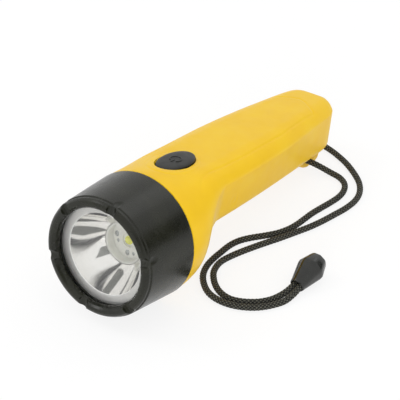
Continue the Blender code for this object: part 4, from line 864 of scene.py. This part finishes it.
# Black screw-on ring: six notches in the rim, each with a shallow dimple behind it
bezelSetup = {"columnsInSector": 60, "fineColumns": 32, "fineHalf": 5.5, "notches": 6, "notchTurn": 13.5,
              "notchRadius": 2.4, "notchY": -32.7, "notchFrom": -28.5, "notchInner": 23.4, "notchLip": 0.004,
              "dimpleRadial": 31.6, "dimpleHalf": 3.0, "dimpleLength": 6.0, "dimpleY": -29.5, "dimpleLip": 0.01,
              "dimpleNear": -0.6, "outlineStep": 0.8, "outerEnd": -32.7, "outerFrom": 27.5,
              "bore": (28.3, 28.45), "boreFrom": -13.5, "beadFrom": -12.4}
bezelCorners = (
    (31.0, 0.0, 0.6), (29.2, -29.5, 0.25), (28.7, -29.75, 0.15), (28.6, -31.2, 0.9), (27.7, -32.35, 0.8),
    (26.6, -32.8, 0.6), (25.28, -32.8, 0.6), (24.2, -31.6, 0.7), (23.6, -30.28, 0.6), (23.6, -29.2, 0.12),
    (26.1, -29.2, 0.15), (26.1, -14.3, 0.3), (28.4, -13.4, 0.3), (28.4, 0.0, 0.5))


def softGain(gain, lip):
    # the gain where it is above zero, easing in over a small lip
    return np.clip(0.5 * (gain + np.sqrt(gain ** 2 + lip)) - 0.5 * sqrt(lip), 0, None)


def makeBezel(setup):
    outline = np.array(splitLong(roundCorners(bezelCorners), setup["outlineStep"]))
    sector, inOne, fineHalf = 360 / setup["notches"], setup["columnsInSector"], setup["fineHalf"]
    columns = inOne * setup["notches"]
    fine, coarse = setup["fineColumns"] / 2, inOne / 2 - setup["fineColumns"] / 2
    count = len(outline)

    def wrap(turn, share):
        place = turn * columns
        inSector = (place + inOne / 2) % inOne - inOne / 2
        index = np.round((place - inSector) / inOne)
        steps = np.abs(inSector)
        away = np.where(steps <= fine, steps / fine * fineHalf,
                        fineHalf + (steps - fine) / coarse * (sector / 2 - fineHalf))
        away = np.radians(away) * np.sign(inSector)
        angle = np.radians(index * sector + setup["notchTurn"]) + away
        spot = np.rint(share * count).astype(int) % count
        radius, y = outline[spot, 0].copy(), outline[spot, 1].copy()
        outer = (spot < np.argmax(outline[:, 1] < setup["outerEnd"])) & (radius > setup["outerFrom"])
        # threads inside the bore
        helixAngle = (angle - pi / 2) % (2 * pi)
        inBore = (radius > setup["bore"][0]) & (radius < setup["bore"][1]) & (y > setup["boreFrom"])
        radius -= np.where(inBore, beadHeight(helixAngle, y, setup["beadFrom"], neckSetup), 0)
        # dimples, then notches, both with softened lips
        t = radius * np.sin(away)
        fill = 1 - (t / setup["dimpleHalf"]) ** 2 - ((y - setup["dimpleY"]) / setup["dimpleLength"]) ** 2
        gain = radius - (setup["dimpleRadial"] - setup["dimpleHalf"] * np.sqrt(np.clip(fill, 0, 1)))
        inDimple = outer & (fill > 0) & (gain > setup["dimpleNear"])
        radius -= np.where(inDimple, softGain(gain, setup["dimpleLip"]), 0)
        gain = setup["notchY"] + np.sqrt(np.clip(setup["notchRadius"] ** 2 - t ** 2, 0, None)) - y
        inNotch = (np.abs(t) < setup["notchRadius"]) & (y < setup["notchFrom"]) & (radius > setup["notchInner"])
        y += np.where(inNotch, softGain(gain, setup["notchLip"]), 0)
        return np.stack([radius * np.sin(angle), y, radius * np.cos(angle)], 1)

    piece = rollGrid("bezelRingMoulding", columns, count, wrap)
    return settle(piece, "bezel", blackAbs, ["bezel_ring"], 40)


makeBezel(bezelSetup)
report("bezel")


# Lamp: mirror bowl with its flat flange, board with its solder joints, ring and emitter
reflectorSetup = {"skirt": 25.4, "skirtEnd": -12.3, "flangeY": -25.6, "mouth": 19.9, "disc": 10.5,
                  "discY": -11.5, "collarEnd": -6.9, "wall": 1.3, "collarWall": 1.4, "skirtWall": 1.4,
                  "steps": 224}
lampSetup = {"spacer": (10.2, 9.3), "spacerY": (-11.5, -6.9), "board": 11.9, "boardY": (-6.6, -5.0),
             "ring": (5.0, 3.4), "ringY": (-7.7, -6.9), "emitter": 2.1, "emitterY": (-7.5, -6.9),
             "emitterEdge": 0.1, "dome": 1.6, "solderScale": (1, 0.45, 1.3),
             "solder": ((-7.4, 0.6, 1.15), (-6.4, -2.6, 0.7), (-0.8, -6.9, 1.15), (2.6, -6.4, 0.7))}


def bowlRadius(y, setup):
    share = (y - setup["discY"]) / (setup["flangeY"] - setup["discY"])
    return sqrt(setup["disc"] ** 2 + (setup["mouth"] ** 2 - setup["disc"] ** 2) * share)


def makeReflector(setup):
    flange, disc, wall, end = setup["flangeY"], setup["discY"], setup["wall"], setup["collarEnd"]
    inside = [(bowlRadius(y, setup), y, 0) for y in np.linspace(flange + 0.25, disc, 34)]
    outside = [(bowlRadius(y - wall, setup) + wall, y, 0) for y in np.linspace(disc - 1.4, flange + wall, 14)]
    outer = setup["disc"] + setup["collarWall"]
    skirt, inner = setup["skirt"], setup["skirt"] - setup["skirtWall"]
    corners = [(skirt, setup["skirtEnd"], 0.2), (skirt, flange, 0.4), (setup["mouth"] + 0.3, flange, 0.2)]
    corners += inside + [(setup["disc"], end, 0.1), (outer, end, 0.2), (outer, disc - 0.4, 0.3)]
    corners += outside + [(inner, flange + wall, 0.3), (inner, setup["skirtEnd"], 0.2)]
    profile = splitLong(roundCorners(corners, steps=4), 2.2)
    piece = turnProfile("reflectorBowl", profile, setup["steps"])
    spots = readPoints(piece) / mm
    flat = (np.hypot(spots[:, 0], spots[:, 2]) > setup["mouth"] + 0.1) & (spots[:, 1] < flange + 0.5)
    writeLayer(piece, "flatRim", flat)
    return settle(piece, "light_unit", mirrorCoat, ["reflector"], 30)


def turnRing(name, radii, ends, rounds, steps, columns):
    (outer, inner), (front, back), (frontRound, backRound, innerRound) = radii, ends, rounds
    corners = [(outer, front, frontRound), (outer, back, backRound), (inner, back, backRound),
               (inner, front, innerRound)]
    return turnProfile(name, roundCorners(corners, steps=steps), columns)


def makeLamp(setup):
    spacer = turnRing("boardSpacer", setup["spacer"], setup["spacerY"], (0.15, 0.15, 0.25), 3, 128)
    settle(spacer, "light_unit", whiteNylon, ["led_spacer"])
    radius, (front, back) = setup["board"], setup["boardY"]
    corners = [(0, back, 0), (radius, back, 0.15), (radius, front, 0.15), (0, front, 0)]
    profile = splitLong(roundCorners(corners, closed=False, steps=3), 1.5, closed=False)
    board = turnProfile("lampBoard", profile, 128)
    settle(board, "light_unit", whiteMask, ["led_board"])
    for number, (x, z, size) in enumerate(setup["solder"], 1):
        joint = addShape("solderJoint%d" % number, tools.primitive_uv_sphere_add, segments=32, ring_count=16,
                         radius=size * mm, location=(x * mm, front * mm, z * mm), scale=setup["solderScale"])
        settle(joint, "light_unit", solderTin)
    ring = turnRing("lampRing", setup["ring"], setup["ringY"], (0.25, 0.1, 0.25), 4, 96)
    settle(ring, "light_unit", whiteNylon, ["led_ring"])
    radius, (front, back), edge, dome = setup["emitter"], setup["emitterY"], setup["emitterEdge"], setup["dome"]
    profile = [(0, back), (radius - edge, back), (radius, back - edge), (radius, front + edge),
               (radius - edge, front)]
    profile += [(dome * cos(k * pi / 20), front - dome * sin(k * pi / 20)) for k in range(10)]
    emitter = turnProfile("lampEmitter", profile + [(0, front - dome)], 72)
    settle(emitter, "light_unit", phosphorDome, ["led_emitter"])


makeReflector(reflectorSetup)
makeLamp(lampSetup)
report("lamp")


# Rubber button, with the power sign standing on its dome
domeShares = ((0.0, 1.0), (0.18, 0.997), (0.35, 0.985), (0.52, 0.958), (0.66, 0.92), (0.77, 0.86), (0.86, 0.78),
              (0.925, 0.66), (0.97, 0.52), (0.99, 0.38), (1.0, 0.25))


def makeButton(setup):
    skirt, shoulder, top, middle = setup["skirt"], setup["shoulder"], setup["top"], setup["y"]
    wide, edge, under, foot = setup["flangeWidth"], setup["edge"], skirt - setup["flange"], setup["foot"]
    levels = [(under, wide - edge, 1), (under + edge, wide, 1), (skirt - edge, wide, 1),
              (skirt, wide - edge, 1), (skirt, foot, 1), (skirt + foot, 0, 1)]
    levels += [(skirt + foot + k * setup["ringStep"], 0, 1) for k in range(1, 6)]
    shareUp, shareOut = np.array(domeShares).T
    for up in np.sin(np.linspace(0, pi / 2, 30)):
        levels.append((shoulder + (top - shoulder) * up, 0, float(np.interp(up, shareUp, shareOut))))
    levels += [(top, 0, size) for size in (0.18, 0.10, 0.03)]
    table = np.array(levels)

    def wrap(turn, share):
        height, wider, size = table[np.rint(share * (len(levels) - 1)).astype(int)].T
        angle = turn * 2 * pi
        across, along = (setup["halfWidth"] + wider) * size, (setup["halfLength"] + wider) * size
        return np.stack([across * np.cos(angle), middle + along * np.sin(angle), height], 1)

    piece = rollGrid("buttonCap", 128, len(levels) - 1, wrap)
    hollow = oval(setup["halfWidth"] - setup["wall"], setup["halfLength"] - setup["wall"], middle, 64)
    hollowLevels = [(skirt - 4, 0), (shoulder - 0.6, 0), (shoulder, -0.5)]
    applyBoolean(piece, "DIFFERENCE", flareHole("hollow", hollow, hollowLevels, "Z"))
    radius, gap, signZ = setup["symbolRadius"], radians(setup["symbolGap"]), top - setup["symbolSunk"]
    arc = [(radius * sin(a), middle - radius * cos(a), signZ) for a in np.linspace(gap, 2 * pi - gap, 48)]
    bar = [(0, middle - radius * (setup["barFrom"] + share), signZ) for share in np.linspace(0, 1, 8)]
    applyBoolean(piece, "UNION", *(rollTube("powerSign", points, setup["symbolLine"]) for points in (arc, bar)))
    return settle(piece, "button", blackRubber, ["button_cap"], 40)


springSetup = {"low": 20.9, "length": 6.5, "wire": 0.3, "radius": 2.2, "turns": 4, "stepsInTurn": 24}


def makeButtonSpring(setup, y):
    low, length, wire, radius = setup["low"], setup["length"], setup["wire"], setup["radius"]
    angles = np.linspace(0, 2 * pi * setup["turns"], setup["stepsInTurn"] * setup["turns"] + 1)
    points = np.stack([radius * np.cos(angles), y + radius * np.sin(angles),
                       low + wire + (length - 2 * wire) * angles / angles[-1]], 1)
    piece = rollTube("returnSpring", points, wire, 10)
    settle(piece, "body", platedSteel, ["button_spring"], 60)
    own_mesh(piece)


makeButton(buttonSetup)
makeButtonSpring(springSetup, buttonSetup["y"])
report("button")


# What stays as packed gets the finish of its slot in the record
finishes = {"clear_polycarbonate": clearPlastic, "black_rubber": blackRubber, "black_abs": blackAbs,
            "white_nylon": whiteNylon, "aluminium": turnedAluminium, "green_board": greenMask,
            "cell_wrap": cellFoil, "brass": platedBrass, "steel": platedSteel}
for subpart in frame["record"]["subparts"]:
    finish = finishes.get(subpart["material_slot"])
    if finish:
        nodes[subpart["node"]].data.materials.clear()
        nodes[subpart["node"]].data.materials.append(finish)
report("packed pieces")


# Studio: pale floor, bright surroundings with the light from the upper left, three soft lamps
studioSetup = {"from": (0.10, -0.45, 0.88), "dim": 0.56, "bright": 0.88, "floorGlow": 0.80, "floorWhite": 1.03,
               "floorSize": 6.0}
# soft lamps: (place, power in watts, width, whether shiny surfaces show it)
lamps = (((-0.75, -0.45, 1.0), 1.5, 0.28, True), ((0.05, 0.80, 0.90), 0.5, 0.50, True),
         ((0.55, -0.96, 0.46), 3.2, 0.50, False))
# grey cards that only shiny surfaces show: (width, height, azimuth from the beam, elevation, distance, grey)
cards = ((0.60, 0.42, 132, 15, 1.0, "3a3a3a"), (0.80, 0.62, 38, 29, 1.25, "6c6e6a"))


def addLookRays(tree):
    # 1 for rays that look: the camera's, mirrored or through the lens; 0 for light that bounces
    path = addNode(tree, "LightPath").node.outputs
    looks = path["Is Camera Ray"]
    for ray in ("Is Glossy Ray", "Is Transmission Ray"):
        looks = addNode(tree, "Math", {"operation": "MAXIMUM"}, {0: looks, 1: path[ray]})
    return looks


def makeFloor(setup):
    floor = addShape("studioFloor", tools.primitive_plane_add, size=setup["floorSize"])
    made, tree, shader, spot = newMaterial("paleFloor", 0.9)
    cloud = addNode(tree, "TexNoise", {"Scale": 3.0}, {"Vector": spot}, "Fac")
    color = addNode(tree, "ValToRGB", {"stops": [(0.0, "f7f7f7"), (1.0, "fbfbfb")]}, {"Fac": cloud})
    setNode(shader, {"Specular IOR Level": 0.0}, {"Base Color": color})
    share = addNode(tree, "Math", {"operation": "MULTIPLY", 1: setup["floorGlow"]}, {0: addLookRays(tree)})
    white = addNode(tree, "Emission", {"Color": hexColor("ffffff"), "Strength": setup["floorWhite"]})
    both = addNode(tree, "MixShader", None, {0: share, 1: shader.outputs[0], 2: white})
    setNode(tree.nodes["Material Output"], None, {"Surface": both})
    floor.data.materials.append(made)


def makeSurroundings(setup):
    world = bpy.data.worlds.new("studio")
    world.use_nodes = True
    scene.world = world
    tree = world.node_tree
    way = addNode(tree, "TexCoord", out="Generated")
    facing = addNode(tree, "VectorMath", {"operation": "DOT_PRODUCT", 1: setup["from"]}, {0: way}, "Value")
    light = addNode(tree, "MapRange", {"From Min": -1.0, "From Max": 1.0, "To Min": setup["dim"],
                                       "To Max": setup["bright"]}, {"Value": facing})
    level = addNode(tree, "Mix", {3: 1.0}, {0: addLookRays(tree), 2: light})
    setNode(tree.nodes["Background"], {"Color": hexColor("ffffff")}, {"Strength": level})


def addCard(width, height, azimuth, elevation, distance, grey):
    azimuth, elevation = radians(azimuth), radians(elevation)
    way = Vector((sin(azimuth) * cos(elevation), -cos(azimuth) * cos(elevation), sin(elevation)))
    card = addShape("greyCard", tools.primitive_plane_add, size=1, location=way * distance,
                    rotation=way.to_track_quat("Z", "Y").to_euler())
    card.scale = (width, height, 1)
    made, tree, shader, spot = newMaterial("matteGreyCard", 0.9)
    setNode(shader, {"Base Color": hexColor(grey)})
    card.data.materials.append(made)
    card.visible_camera = card.visible_diffuse = card.visible_shadow = False


def addSoftLamp(place, power, width, shows):
    data = bpy.data.lights.new("softLamp", "AREA")
    data.energy = power
    data.size = width
    lamp = bpy.data.objects.new("softLamp", data)
    lamp.location = place
    lamp.visible_glossy = shows
    lamp.visible_transmission = shows
    lamp.rotation_euler = (-Vector(place)).to_track_quat("-Z", "Y").to_euler()
    scene.collection.objects.link(lamp)


makeFloor(studioSetup)
makeSurroundings(studioSetup)
for lamp in lamps:
    addSoftLamp(*lamp)
for card in cards:
    addCard(*card)
scene.view_settings.view_transform = "Standard"
report("studio")
